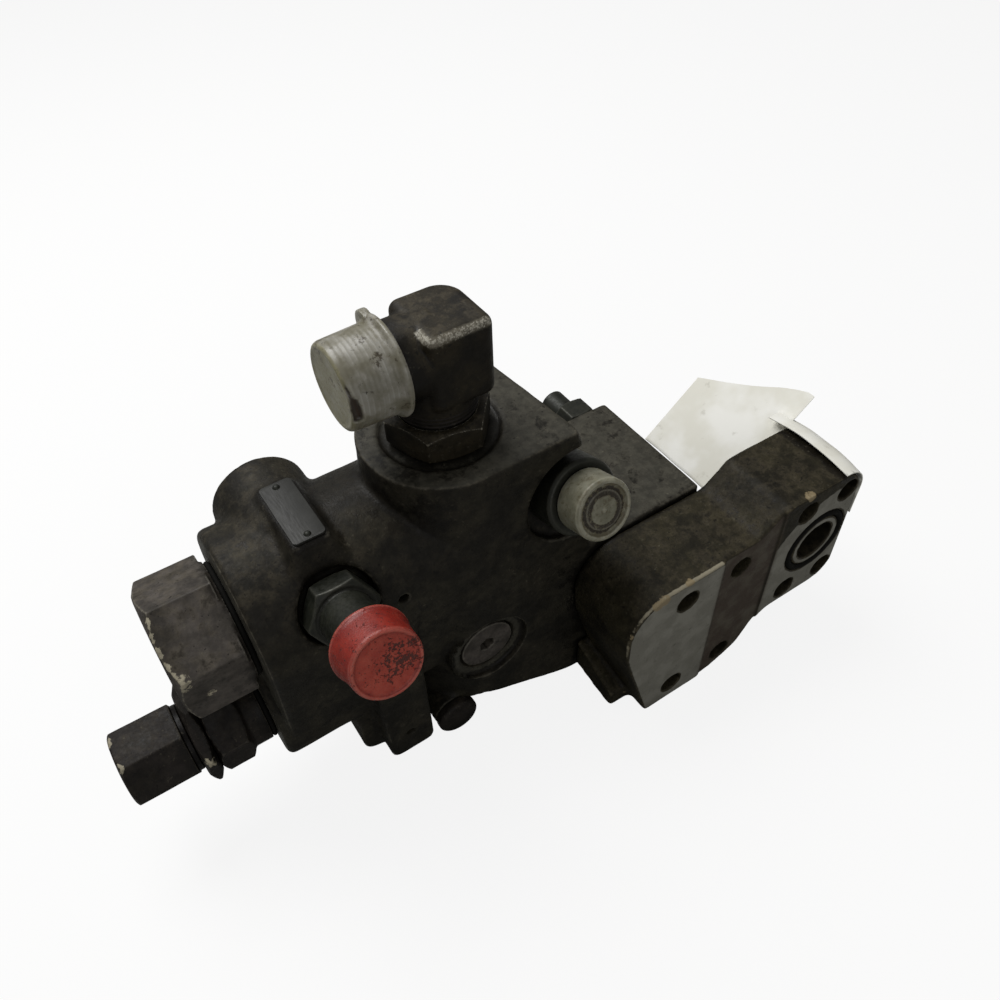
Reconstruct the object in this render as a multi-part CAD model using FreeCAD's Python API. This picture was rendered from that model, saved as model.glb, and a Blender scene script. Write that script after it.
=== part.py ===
import FreeCAD, Part
import math
import os

# Hose rupture valve of an excavator boom cylinder, in millimetres.
# +X runs along the spool towards the flange block, -Y is the front, +Z is up.
# It is drawn about the axis of the top port, with the resting plane at Z 0, and the
# finished pieces are moved so that the middle of their footprint stands on the origin.

V = FreeCAD.Vector
EAST = V(1, 0, 0)
WEST = V(-1, 0, 0)
FRONT = V(0, -1, 0)
BACK = V(0, 1, 0)
UP = V(0, 0, 1)
DOWN = V(0, 0, -1)

# Fits and gaps
run_gap = 0.02
thread_gap = 0.05
seal_gap = 0.1
slide_gap = 0.1
seat_gap = 0.05
flat_tolerance = 0.01
push_gap = 0.15

# Main casting
barrel_r = 31.0
half_depth = barrel_r
spool_z = 98.5
relief_z = 49.0
deck_z = 141.0
deck_inset = 1.5
deck_r = half_depth - deck_inset
deck_shift_x = 1.3
deck_end_x = 37.0
deck_back_x = 31.0
column_corner = 3.0
deck_spot_r = 21.0
deck_spot_depth = 1.5
block_end_x = 43.0
block_shoulder_z = 126.0
shoulder_bulge = 2.0
shoulder_pull = 3.0
column_floor_z = 18.8
column_floor_x = -7.0
column_floor_round = 12.0
slab_top_z = 81.0
slab_end_x = 98.0
body_floor_z = 0.0
keel_x = 35.5
keel_round = 25.0
slab_corner = 3.0
slab_edge = 1.0
left_end_x = -83.0
left_end_round = 2.5
relief_boss_r = 24.0
relief_face_x = -86.0
relief_boss_edge = 1.5
lug_x0 = -51.0
lug_x1 = -32.0
lug_floor_z = 11.0
lug_corner = 3.0
lug_toe = 4.0
lug_back_x0 = -58.5
lug_back_z = 10.5
lug_back_inset = 9.0
lug_back_toe = 6.0
lug_hole_x = -41.7
lug_hole_z = 24.2
lug_hole_r = 1.8
lug_hole_depth = 8.0
foot_boss_x = -20.2
foot_boss_z = 13.6
foot_boss_r = 8.8
foot_boss_inset = 4.0
foot_boss_y = foot_boss_inset - half_depth
core_plug_r = 7.0
core_plug_depth = 8.0
core_plug_chamfer = 1.0
rear_boss_x = -57.6
rear_boss_drop = 14.0
rear_boss_z = spool_z + barrel_r - rear_boss_drop
rear_boss_r = 17.0
plate_pad_rise = 4.1
plate_pad_z = spool_z + barrel_r + plate_pad_rise
plate_pad_rim = 0.9
plate_pad_draft = 4.0
plate_pad_corner = 2.0
side_hole_x = -34.7
side_hole_z = 105.0
side_hole_r = 2.0
side_hole_depth = 7.0

# Spool, its spring and the big cap
spool_r = 12.0
spool_travel = 8.0
spool_length = 80.0
spool_groove_r = 8.0
spool_chamfer = 1.0
spool_end_land = 12.0
spool_ramp = 2.0
spool_groove = 14.0
spool_middle_land = 10.0
spool_metering_ramp = 4.0
spool_notch_r = 2.2
spool_centre_r = 4.0
spool_centre_depth = 20.0
cap_thread_r = 19.0
cap_thread_length = 19.5
cap_thread_x1 = left_end_x + cap_thread_length
cap_collar_r = 21.5
cap_collar_length = 3.0
cap_hex_af = 43.0
cap_hex_length = 23.0
cap_hex_x1 = left_end_x - cap_collar_length
cap_hex_x0 = cap_hex_x1 - cap_hex_length
cap_hex_turn = 22.0
cap_bore_r = 13.0
cap_end_wall = 6.0
cap_bore_x0 = cap_hex_x0 + cap_end_wall
cap_seal_wire = 2.0
seat_thickness = 6.0
seat_step = 3.0
seat_hub_r = 7.5
seat_pocket_rest = 7.5
spool_x0 = cap_thread_x1 + seat_pocket_rest + seat_thickness
spool_x1 = spool_x0 + spool_length
spool_bore_x1 = spool_x1 + spool_travel
main_wire_r = 1.5
main_coil_r = 9.5
main_turns = 6.5

# Relief cartridge
relief_thread_r = 13.0
relief_thread_length = 30.0
relief_thread_x1 = relief_face_x + relief_thread_length
relief_nose_length = 5.0
relief_nose_x1 = relief_thread_x1 + relief_nose_length
relief_nose_wall = 2.0
relief_pocket_x1 = relief_nose_x1 + 1
relief_seal_wire = 2.0
relief_neck_r = 15.0
relief_neck_length = 9.0
relief_hex_af = 32.0
relief_hex_length = 13.0
relief_hex_x1 = relief_face_x - relief_neck_length
relief_hex_x0 = relief_hex_x1 - relief_hex_length
relief_hex_turn = 17.0
relief_bore_r = 8.0
relief_end_wall = 10.0
relief_bore_x0 = relief_hex_x0 + relief_end_wall
relief_seat_wall = 5.5
relief_seat_x = relief_nose_x1 - relief_seat_wall
relief_seat_r = 3.0
relief_drill_r = 3.0
dart_length = 7.0
dart_shoulder_r = 5.0
dart_tip_r = 1.5
relief_travel = 3.0
relief_wire_r = 0.9
relief_coil_r = 5.6
relief_turns = 6.0
plate_disc_thickness = 3.0
plate_disc_rest = 3.0
plate_disc_x0 = relief_bore_x0 + plate_disc_rest
lock_nut_af = 34.0
lock_nut_thickness = 5.0
lock_nut_gap = 0.1
adjuster_r = 6.0
adjuster_bare_length = 2.5
adjuster_hex_af = 27.0
adjuster_hex_length = 22.5
adjuster_hex_x1 = relief_hex_x0 - lock_nut_thickness - adjuster_bare_length
adjuster_hex_x0 = adjuster_hex_x1 - adjuster_hex_length
adjuster_hex_turn = -1.6

# Load check behind the flush plug
check_x = -3.2
check_z = relief_z
check_recess_depth = 3.0
check_face_y = check_recess_depth - half_depth
check_recess_r = 16.5
check_ring_r = 12.2
check_ring_depth = 2.0
check_plug_r = 10.8
check_plug_depth = 14.0
check_plug_end_gap = 0.5
check_lip = 0.4
check_lip_height = 1.2
check_socket_af = 6.0
check_socket_depth = 5.0
check_bore_r = 9.0
check_bore_length = 32.0
check_seat_y = check_face_y + check_bore_length
check_seat_r = 6.0
check_nose_wall = 3.0
check_cup_length = 12.0
check_cup_wall = 2.5
check_travel = 4.5
check_wire_r = 0.7
check_coil_r = 4.8
check_turns = 5.0
check_passage_length = 10.0
check_passage_y1 = check_seat_y + check_passage_length
spool_feed_r = 6.0
core_passage_r = 7.5

# Two pilot ports, radial to the spool and tilted up
port_tilt = 20.0
port_rise = 3.5
port_foot_z = spool_z + port_rise
drain_x = -55.0
drain_spot_r = 13.3
drain_spot_depth = 7.0
drain_floor = barrel_r - drain_spot_depth
drain_hex_af = 22.0
drain_hex_length = 9.0
drain_stub_r = 9.0
drain_stub_end = drain_floor + 37.0
drain_thread_r = 7.0
port_web = 3.0
port_thread_end = spool_r + port_web
port_thread_gap = 1.0
drain_bore_r = 3.5
drain_rim_r = 13.6
drain_cap_length = 16.0
drain_cap_end = drain_stub_end + 5.0
drain_rim_at = drain_cap_end - drain_cap_length
drain_rim_thickness = 2.0
drain_cap_r = 11.6
drain_cap_roof = 3.0
drain_cap_taper = 0.6
drain_cap_edge = 1.0
pilot_x = 35.0
pilot_spot_r = 19.5
pilot_spot_depth = 9.0
pilot_floor = half_depth - pilot_spot_depth
pilot_collar_r = 14.5
pilot_collar_end = pilot_floor + 15.0
pilot_collar_edge = 1.0
pilot_stub_r = 9.3
pilot_stub_end = pilot_collar_end + 9.0
pilot_cap_r = 11.5
pilot_cap_end = pilot_stub_end + 3.5
pilot_cap_edge = 1.2
pilot_cap_lift = 0.4
pilot_cap_roof_gap = 0.3
pilot_cap_dish_r = 7.4
pilot_cap_dish = 1.2
port_seal_thickness = 1.4
port_seal_width = 3.0

# Elbow on the top port
elbow_rise = 32.0
elbow_axis_z = deck_z + elbow_rise
elbow_half = 13.6
elbow_left_x = -7.8
elbow_right_x = 15.6
elbow_head = 13.0
elbow_top_z = elbow_axis_z + elbow_head
elbow_height = 29.0
elbow_block_z0 = elbow_top_z - elbow_height
elbow_corner = 4.0
elbow_back_corner = 9.0
elbow_edge = 3.5
elbow_stem_r = 13.3
elbow_stem_depth = 15.0
elbow_end_gap = 2.0
elbow_stem_z0 = deck_z - elbow_stem_depth
elbow_nut_af = 32.0
elbow_nut_rise = 10.0
elbow_nut_z1 = deck_z + elbow_nut_rise
elbow_nut_turn = 50.0
elbow_bore_r = 7.0
elbow_neck_r = 12.6
elbow_shoulder_r = 13.3
elbow_shoulder_gap = 0.4
elbow_outlet_x0 = -31.0
elbow_cap_r = 14.3
elbow_cap_rim_r = 16.4
elbow_cap_rim = 2.0
elbow_cap_x0 = -34.0
elbow_cap_x1 = -14.6
top_bore_r = 9.0

# Flange block
block_depth = 35.0
block_front_y = -half_depth - block_depth
pad_left_x = 35.0
pad_low_x = 36.0
pad_low_z = 48.0
pad_top_z = 79.0
pad_low_round = 14.0
pad_top_round = 19.0
foot_left_x = 50.0
foot_right_x = 86.0
foot_left_round = 2.0
foot_right_round = 5.0
heel_x = 102.0
heel_z = 7.0
heel_round = 10.0
ramp_low_x = 99.0
ramp_low_round = 6.0
ramp_top_x = 111.0
ramp_top_round = 5.0
tower_end_x = 152.5
tower_top_z = 89.0
tower_corner = 12.0
tower_floor_x = 112.0
tower_floor_z = 24.0
tower_floor_round = 10.0
ledge_x0 = 39.0
ledge_x1 = 52.0
ledge_length = 25.0
ledge_height = 9.0
ledge_root_z0 = 4.0
ledge_root_z1 = 20.0
pad_step = 1.0
pad_x1 = 80.5
right_pad_x0 = 109.8
flange_x = 77.2
flange_z = 39.0
flange_dx = 27.8
flange_dz = 57.2
tapped_r = 5.3
tapped_depth = 15.0
stud_x = 76.5
stud_dx = 24.0
stud_r = 6.0
stud_hole_r = 6.5
stud_grip = 15.0
stud_tip_gap = 1.0
stud_tip_y = -half_depth - stud_grip
stud_overhang = 26.0
stud_end_y = half_depth + stud_overhang
nut_af = 19.0
nut_height = 10.8
washer_r = 9.9
washer_thickness = 2.5
port_x = 134.6
port_z = 55.5
port_dx = 22.2
port_dz = 47.6
port_hole_r = 5.5
port_bore_r = 9.5
port_groove_r0 = 12.8
port_groove_r1 = 16.2
port_groove_depth = 2.6
port_ring_stand = 0.28
gallery_r = 9.0
gallery_depth = 17.0
gallery_y = block_front_y + gallery_depth
joint_groove_r0 = 16.5
joint_groove_r1 = 20.0
joint_groove_depth = 2.6
core_inset = 17.0
core_y = half_depth - core_inset

# Paper label round the port tower
paper_thickness = 0.4
paper_gap = 0.3
paper_side_z = 62.0
paper_overlap = 7.0
paper_band_y1 = paper_overlap - half_depth
paper_low_x = 113.0
paper_low_z = 60.5
paper_high_x = 156.0
paper_high_z = 95.4
paper_back_y = 18.0

# Name plate
plate_x = -55.1
plate_y = -0.6
plate_width = 11.0
plate_length = 28.4
plate_thickness = 0.8
plate_corner = 1.5
rivet_r = 1.1
rivet_inset = 2.2


def span(x0, x1, y0, y1, z0, z1):
    return Part.makeBox(x1 - x0, y1 - y0, z1 - z0, V(x0, y0, z0))


def rod(radius, start, direction, length):
    return Part.makeCylinder(radius, length, start, direction)


def rod_x(radius, x0, x1, z, y=0.0):
    return rod(radius, V(x0, y, z), EAST, x1 - x0)


def rod_y(radius, y0, y1, x, z):
    return rod(radius, V(x, y0, z), BACK, y1 - y0)


def rod_z(radius, z0, z1, x=0.0, y=0.0):
    return rod(radius, V(x, y, z0), UP, z1 - z0)


def fused(shapes):
    whole = shapes[0].multiFuse(shapes[1:])
    return whole.removeSplitter()


def drilled(shape, holes):
    return shape.cut(holes)


def turned(profile, start=V(0, 0, 0), axis=UP):
    """Solid of revolution: profile holds (radius, height) pairs along the axis."""
    points = [V(radius, 0, height) for radius, height in profile]
    face = Part.Face(Part.makePolygon(points + points[:1]))
    solid = face.revolve(V(0, 0, 0), UP, 360)
    return placed(solid, start, axis)


def placed(shape, start, axis, side=None):
    """Copy of a shape made along +Z from the origin, set at start along axis, +X turned to side."""
    if side is None:
        side = UP if abs(axis.z) < 0.99 else EAST
    across = axis.cross(side)
    turn = FreeCAD.Rotation(side, across, axis, "ZXY")
    copy = shape.copy()
    copy.Placement = FreeCAD.Placement(start, turn).multiply(shape.Placement)
    return copy


def rounded_loop(corners):
    """Closed wire in the local XY plane through (x, y, radius) corners, each with its own arc."""
    edges = []
    ends = []
    count = len(corners)
    for index in range(count):
        x, y, radius = corners[index]
        corner = V(x, y, 0)
        before = V(corners[index - 1][0], corners[index - 1][1], 0)
        after = V(corners[(index + 1) % count][0], corners[(index + 1) % count][1], 0)
        to_before = (before - corner).normalize()
        to_after = (after - corner).normalize()
        half = to_before.getAngle(to_after) / 2
        if radius > 0:
            reach = radius / math.tan(half)
            first = corner + to_before * reach
            last = corner + to_after * reach
            bisector = (to_before + to_after).normalize()
            middle = corner + bisector * (radius / math.sin(half) - radius)
            edges.append(Part.Arc(first, middle, last).toShape())
            ends.append((first, last))
        else:
            ends.append((corner, corner))
    for index in range(count):
        start = ends[index][1]
        finish = ends[(index + 1) % count][0]
        if (finish - start).Length > 1e-6:
            edges.append(Part.LineSegment(start, finish).toShape())
    return Part.Wire(Part.__sortEdges__(edges))


def plate_xz(corners, y0, y1):
    """Outline of (x, z, radius) corners, as thick as y0 to y1."""
    loop = rounded_loop(corners)
    loop.rotate(V(0, 0, 0), EAST, 90)
    loop.translate(V(0, y0, 0))
    return Part.Face(loop).extrude(V(0, y1 - y0, 0))


def plate_xy(corners, z0, z1):
    loop = rounded_loop(corners)
    loop.translate(V(0, 0, z0))
    return Part.Face(loop).extrude(V(0, 0, z1 - z0))


def hexagon(across_flats, length, turn=0.0):
    """Bare hexagon prism on +Z, one corner turned that many degrees from +X."""
    corner_r = across_flats / math.sqrt(3)
    angles = [math.radians(turn + 60 * step) for step in range(7)]
    points = [V(corner_r * math.cos(a), corner_r * math.sin(a), 0) for a in angles]
    return Part.Face(Part.makePolygon(points)).extrude(V(0, 0, length))


def nut_blank(across_flats, length, turn=0.0, both_ends=False):
    """Hexagon whose outer end, or both ends, are chamfered at 30 degrees."""
    corner_r = across_flats / math.sqrt(3)
    face_r = 0.475 * across_flats
    rise = (corner_r - face_r) * math.tan(math.radians(30))
    low_r = face_r if both_ends else corner_r + 1
    low_z = rise if both_ends else 0.0
    envelope = [(0, 0), (low_r, 0), (corner_r + 0.01, low_z)]
    envelope += [(corner_r + 0.01, length - rise), (face_r, length), (0, length)]
    if not both_ends:
        envelope = [(0, 0), (corner_r + 0.01, 0)] + envelope[3:]
    return hexagon(across_flats, length, turn).common(turned(envelope))


def o_ring(middle_r, wire_r, start, axis):
    ring = Part.makeTorus(middle_r, wire_r)
    return placed(ring, start, axis)


def coil(middle_r, wire_r, length, turns, start, axis):
    """Round-wire compression spring between two planes, its wire whole at both ends."""
    rise = length - 2 * wire_r
    path = Part.makeHelix(rise / turns, rise, middle_r)
    section = Part.Wire(Part.makeCircle(wire_r, V(middle_r, 0, 0), V(0, 1, 0)))
    spring = Part.Wire(path).makePipeShell([section], True, False)
    spring.translate(V(0, 0, wire_r))
    return placed(spring, start, axis)


def port_axis(x):
    """Foot on the centre plane and outward direction of a pilot port."""
    tilt = math.radians(port_tilt)
    return V(x, 0, port_foot_z), V(0, -math.cos(tilt), math.sin(tilt))


def on_port(x, shape, at):
    foot, out = port_axis(x)
    return placed(shape, foot + out * at, out, EAST)


def rectangle_places(x, z, dx, dz):
    """Centres of four holes round (x, z)."""
    return [(x + i * dx / 2, z + j * dz / 2) for i in (-1, 1) for j in (-1, 1)]


def stud_places():
    return rectangle_places(stud_x, flange_z, stud_dx, flange_dz)


def left_end():
    """Barrel round the spool and the smaller relief boss, joined by their common tangents."""
    drop = spool_z - relief_z
    lean = math.asin((barrel_r - relief_boss_r) / drop)
    c = math.cos(lean)
    s = math.sin(lean)
    upper_y = barrel_r * c
    upper_z = spool_z - barrel_r * s
    lower_y = relief_boss_r * c
    lower_z = relief_z - relief_boss_r * s
    points = [V(left_end_x, -upper_y, upper_z), V(left_end_x, upper_y, upper_z)]
    points += [V(left_end_x, lower_y, lower_z), V(left_end_x, -lower_y, lower_z)]
    web = Part.Face(Part.makePolygon(points + points[:1])).extrude(EAST * (0 - left_end_x))
    barrel = rod_x(barrel_r, left_end_x, 0, spool_z)
    lower = rod_x(relief_boss_r, left_end_x, lug_x1, relief_z)
    casting = fused([barrel, lower, web])
    rim = [edge for edge in casting.Edges if edge.BoundBox.XMax < left_end_x + flat_tolerance]
    casting = casting.makeFillet(left_end_round, rim)
    edge_r = relief_boss_r - relief_boss_edge
    length = lug_x1 - relief_face_x
    boss = turned([(0, 0), (edge_r, 0), (relief_boss_r, relief_boss_edge), (relief_boss_r, length), (0, length)],
                  V(relief_face_x, 0, relief_z), EAST)
    return fused([casting, boss])


def column_plan(left_r, shift, right_x, back_x, z):
    """Plan outline of the tower: round on the left, straight on the right."""
    corner_r = left_r - 0.5
    left_x = shift - left_r
    corners = [(left_x, -left_r, corner_r), (right_x, -left_r, column_corner)]
    corners += [(back_x, left_r, column_corner), (left_x, left_r, corner_r)]
    loop = rounded_loop(corners)
    loop.translate(V(0, 0, z))
    return loop


def tower():
    """Drafted column under the deck, standing on the slab and on a straight root."""
    root = column_plan(half_depth, 0, block_end_x, block_end_x, slab_top_z)
    shoulder_r = (half_depth + 3 * deck_r) / 4
    shoulder_x = (block_end_x + deck_end_x) / 2 + shoulder_bulge
    shoulder = column_plan(shoulder_r, deck_shift_x, shoulder_x, block_end_x - shoulder_pull, block_shoulder_z)
    top = column_plan(deck_r, deck_shift_x, deck_end_x, deck_back_x, deck_z)
    lower = Part.makeLoft([root, shoulder], True, True)
    upper = Part.makeLoft([shoulder, top], True, True)
    foot_loop = column_plan(half_depth, 0, block_end_x, block_end_x, 0)
    foot = Part.Face(foot_loop).extrude(V(0, 0, slab_top_z))
    front = [(-half_depth, slab_top_z, 0), (slab_end_x, slab_top_z, slab_edge), (slab_end_x, body_floor_z, slab_corner)]
    front += [(keel_x, body_floor_z, keel_round), (column_floor_x, column_floor_z, column_floor_round)]
    front += [(-half_depth, column_floor_z, 0)]
    slab = plate_xz(front, -half_depth, half_depth)
    slab = slab.common(fused([foot, span(0, slab_end_x, -half_depth, half_depth, 0, slab_top_z)]))
    return [lower, upper, slab]


def lug():
    corners = [(lug_x0, lug_floor_z, lug_toe), (lug_x1, lug_floor_z, lug_corner)]
    corners += [(lug_x1, spool_z, 0), (lug_x0, spool_z, 0)]
    front = plate_xz(corners, -half_depth, half_depth)
    corners = [(lug_back_x0, lug_back_z, lug_back_toe), (lug_x1, lug_back_z, lug_corner)]
    corners += [(lug_x1, relief_z, 0), (lug_back_x0, relief_z, 0)]
    back = plate_xz(corners, lug_back_inset - half_depth, half_depth)
    return [front, back]


def plate_pad():
    """Drafted pad under the name plate, sunk into the barrel's crest."""
    outlines = []
    for z, rim in ((plate_pad_z, plate_pad_rim), (spool_z + barrel_r * 0.8, plate_pad_rim + plate_pad_draft)):
        w = plate_width / 2 + rim
        h = plate_length / 2 + rim
        corners = [(plate_x + i * w, plate_y + j * h, plate_pad_corner) for i, j in ((-1, -1), (1, -1), (1, 1), (-1, 1))]
        loop = rounded_loop(corners)
        loop.translate(V(0, 0, z))
        outlines.append(loop)
    return Part.makeLoft(outlines, True, True)


def valve_body():
    solids = [left_end()] + tower() + lug()
    solids.append(rod_y(foot_boss_r, foot_boss_y, half_depth, foot_boss_x, foot_boss_z))
    solids.append(rod_y(rear_boss_r, 0, half_depth, rear_boss_x, rear_boss_z))
    solids.append(plate_pad())
    body = fused(solids)

    holes = [rod_x(spool_r + run_gap, cap_thread_x1, spool_bore_x1, spool_z)]
    holes.append(rod_x(cap_thread_r + thread_gap, left_end_x, cap_thread_x1, spool_z))
    holes.append(rod_x(cap_bore_r, cap_thread_x1, spool_x0, spool_z))
    holes.append(rod_x(relief_thread_r + thread_gap, relief_face_x, relief_pocket_x1, relief_z))
    holes.append(rod_x(relief_drill_r, relief_pocket_x1, check_x, relief_z))
    holes.append(rod_z(elbow_stem_r + thread_gap, elbow_stem_z0 - elbow_end_gap, deck_z))
    holes.append(rod_z(top_bore_r, spool_z, elbow_stem_z0))
    holes.append(rod_z(deck_spot_r, deck_z - deck_spot_depth, deck_z + 1))
    holes.append(rod_y(check_recess_r, -half_depth, check_face_y, check_x, check_z))
    holes.append(rod_y(check_ring_r, check_face_y, check_face_y + check_ring_depth, check_x, check_z))
    holes.append(rod_y(check_plug_r + thread_gap, check_face_y, check_face_y + check_plug_depth, check_x, check_z))
    holes.append(rod_y(check_bore_r + run_gap, check_face_y, check_seat_y, check_x, check_z))
    holes.append(rod_y(check_seat_r, check_seat_y, check_passage_y1, check_x, check_z))
    holes.append(rod_z(spool_feed_r, check_z, spool_z, check_x, check_seat_y - check_bore_r))
    holes += gallery([V(flange_x, -half_depth, flange_z), V(flange_x, core_y, flange_z),
                      V(check_x, core_y, check_z)], core_passage_r)
    holes.append(rod_y(lug_hole_r, -half_depth, lug_hole_depth - half_depth, lug_hole_x, lug_hole_z))
    holes.append(rod_y(side_hole_r, -half_depth, side_hole_depth - half_depth, side_hole_x, side_hole_z))
    holes.append(rod_y(core_plug_r + thread_gap, foot_boss_y, foot_boss_y + core_plug_depth, foot_boss_x, foot_boss_z))
    holes.append(rod_y(foot_boss_r + thread_gap, -half_depth, foot_boss_y, foot_boss_x, foot_boss_z))
    for x, z in stud_places():
        holes.append(rod_y(stud_hole_r, -half_depth, half_depth, x, z))
    for x, spot, floor in ((drain_x, drain_spot_r, drain_floor), (pilot_x, pilot_spot_r, pilot_floor)):
        holes.append(on_port(x, rod_z(spot, 0, half_depth), floor))
        holes.append(on_port(x, rod_z(drain_thread_r + thread_gap, 0, floor - port_thread_end), port_thread_end))
        holes.append(on_port(x, rod_z(drain_bore_r, 0, port_thread_end), 0))
    return drilled(body, holes)


def gallery(route, radius):
    """Cored passage through the points of a route, with ball-shaped turns."""
    pieces = []
    for first, last in zip(route, route[1:]):
        run = last - first
        pieces.append(rod(radius, first, run, run.Length))
    for point in route[1:-1]:
        pieces.append(Part.makeSphere(radius, point))
    pieces.append(Part.makeSphere(radius, route[-1]))
    return pieces


def ledge():
    """Web low on the block's left side, falling towards the front."""
    root_y = -half_depth
    tip_y = root_y - ledge_length
    corners = [V(ledge_x0, root_y, ledge_root_z0), V(ledge_x0, root_y, ledge_root_z1)]
    corners += [V(ledge_x0, tip_y, ledge_height), V(ledge_x0, tip_y, 0)]
    return Part.Face(Part.makePolygon(corners + corners[:1])).extrude(EAST * (ledge_x1 - ledge_x0))


def flange_block():
    outline = [(foot_left_x, 0, foot_left_round), (pad_low_x, pad_low_z, pad_low_round)]
    outline += [(pad_left_x, pad_top_z, pad_top_round), (ramp_low_x, pad_top_z, ramp_low_round)]
    outline += [(ramp_top_x, tower_top_z, ramp_top_round), (tower_end_x, tower_top_z, tower_corner)]
    outline += [(tower_end_x, tower_floor_z, tower_floor_round), (tower_floor_x, tower_floor_z, tower_floor_round)]
    outline += [(heel_x, heel_z, heel_round), (foot_right_x, 0, foot_right_round)]
    block = plate_xz(outline, block_front_y, -half_depth)
    block = fused([block, ledge()])

    channel = span(pad_x1, right_pad_x0, block_front_y, block_front_y + pad_step, 0, tower_top_z)
    holes = [channel]
    for x, z in rectangle_places(flange_x, flange_z, flange_dx, flange_dz):
        holes.append(rod_y(tapped_r, block_front_y, block_front_y + tapped_depth, x, z))
    for x, z in stud_places():
        holes.append(rod_y(stud_r + thread_gap, stud_tip_y - stud_tip_gap, -half_depth, x, z))
    for x, z in rectangle_places(port_x, port_z, port_dx, port_dz):
        holes.append(rod_y(port_hole_r, block_front_y, -half_depth, x, z))
    holes.append(rod_y(port_groove_r1, block_front_y, block_front_y + port_groove_depth, port_x, port_z)
                 .cut(rod_y(port_groove_r0, block_front_y, block_front_y + port_groove_depth, port_x, port_z)))
    holes.append(rod_y(joint_groove_r1, -half_depth - joint_groove_depth, -half_depth, flange_x, flange_z)
                 .cut(rod_y(joint_groove_r0, -half_depth - joint_groove_depth, -half_depth, flange_x, flange_z)))
    holes += gallery([V(flange_x, -half_depth, flange_z), V(flange_x, gallery_y, flange_z),
                      V(port_x, gallery_y, port_z)], gallery_r)
    holes.append(rod_y(port_bore_r, block_front_y, gallery_y, port_x, port_z))
    return drilled(block, holes)


def spring_cap():
    hexagon_end = placed(nut_blank(cap_hex_af, cap_hex_x1 - cap_hex_x0, cap_hex_turn),
                         V(cap_hex_x1, 0, spool_z), WEST, FRONT)
    collar = rod_x(cap_collar_r, cap_hex_x1, left_end_x, spool_z)
    thread = rod_x(cap_thread_r, left_end_x, cap_thread_x1, spool_z)
    whole = fused([hexagon_end, collar, thread])
    gland = rod_x(cap_collar_r, left_end_x - cap_seal_wire, left_end_x, spool_z).cut(
        rod_x(cap_thread_r, left_end_x - cap_seal_wire, left_end_x, spool_z))
    return drilled(whole, [rod_x(cap_bore_r, cap_bore_x0, cap_thread_x1, spool_z), gland])


def cap_seal():
    wire_r = cap_seal_wire / 2 - seal_gap
    return o_ring(cap_thread_r + cap_seal_wire / 2, wire_r, V(left_end_x - cap_seal_wire / 2, 0, spool_z), EAST)


def main_spool():
    land = spool_r
    waist = spool_groove_r
    first_end = spool_end_land + 2 * spool_ramp + spool_groove
    second_start = first_end + spool_middle_land
    second_end = second_start + spool_ramp + spool_groove
    metering_edge = second_end + spool_metering_ramp
    profile = [(0, 0), (land - spool_chamfer, 0), (land, spool_chamfer), (land, spool_end_land)]
    profile += [(waist, spool_end_land + spool_ramp), (waist, first_end - spool_ramp), (land, first_end)]
    profile += [(land, second_start), (waist, second_start + spool_ramp), (waist, second_end)]
    profile += [(land, metering_edge), (land, spool_length - spool_chamfer)]
    profile += [(land - spool_chamfer, spool_length), (0, spool_length)]
    spool = turned(profile, V(spool_x0, 0, spool_z), EAST)
    centre_hole = rod_x(spool_centre_r, spool_x1 - spool_centre_depth, spool_x1, spool_z)
    quarters = [math.radians(angle) for angle in (0, 90, 180, 270)]
    notches = [rod(spool_notch_r, V(spool_x0 + metering_edge, 0, spool_z), V(0, math.cos(a), math.sin(a)), 2 * land)
               for a in quarters]
    return drilled(spool, [centre_hole] + notches)


def spring_seat():
    rim = cap_bore_r - slide_gap
    profile = [(0, 0), (seat_hub_r, 0), (seat_hub_r, seat_step), (rim, seat_step), (rim, seat_thickness)]
    profile += [(0, seat_thickness)]
    return turned(profile, V(spool_x0 - seat_thickness, 0, spool_z), EAST)


def main_spring():
    end = spool_x0 - seat_thickness + seat_step
    return coil(main_coil_r, main_wire_r, end - cap_bore_x0, main_turns, V(cap_bore_x0, 0, spool_z), EAST)


def relief_body():
    hexagon_end = placed(nut_blank(relief_hex_af, relief_hex_x1 - relief_hex_x0, relief_hex_turn, True),
                         V(relief_hex_x1, 0, relief_z), WEST, FRONT)
    neck = rod_x(relief_neck_r, relief_hex_x1, relief_face_x, relief_z)
    thread = rod_x(relief_thread_r, relief_face_x, relief_thread_x1, relief_z)
    nose = rod_x(relief_bore_r + relief_nose_wall, relief_thread_x1, relief_nose_x1, relief_z)
    whole = fused([hexagon_end, neck, thread, nose])
    gland = rod_x(relief_neck_r, relief_face_x - relief_seal_wire, relief_face_x, relief_z).cut(
        rod_x(relief_thread_r, relief_face_x - relief_seal_wire, relief_face_x, relief_z))
    holes = [rod_x(relief_bore_r, relief_bore_x0, relief_seat_x, relief_z)]
    holes.append(rod_x(adjuster_r + thread_gap, relief_hex_x0, relief_bore_x0, relief_z))
    holes.append(rod_x(relief_seat_r, relief_seat_x, relief_nose_x1, relief_z))
    holes.append(gland)
    return drilled(whole, holes)


def relief_seal():
    wire_r = relief_seal_wire / 2
    return o_ring(relief_thread_r + wire_r, wire_r - seal_gap, V(relief_face_x - wire_r, 0, relief_z), EAST)


def relief_dart():
    """Guided piston with a 45 degree nose that meets the seat edge."""
    guide_r = relief_bore_r - run_gap
    back = relief_seat_x + relief_seat_r - seat_gap - dart_shoulder_r - dart_length
    tip_end = dart_length + dart_shoulder_r - dart_tip_r
    profile = [(0, 0), (guide_r, 0), (guide_r, dart_length), (dart_shoulder_r, dart_length)]
    profile += [(dart_tip_r, tip_end), (0, tip_end)]
    return turned(profile, V(back, 0, relief_z), EAST), back


def relief_poppet():
    return relief_dart()[0]


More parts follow.
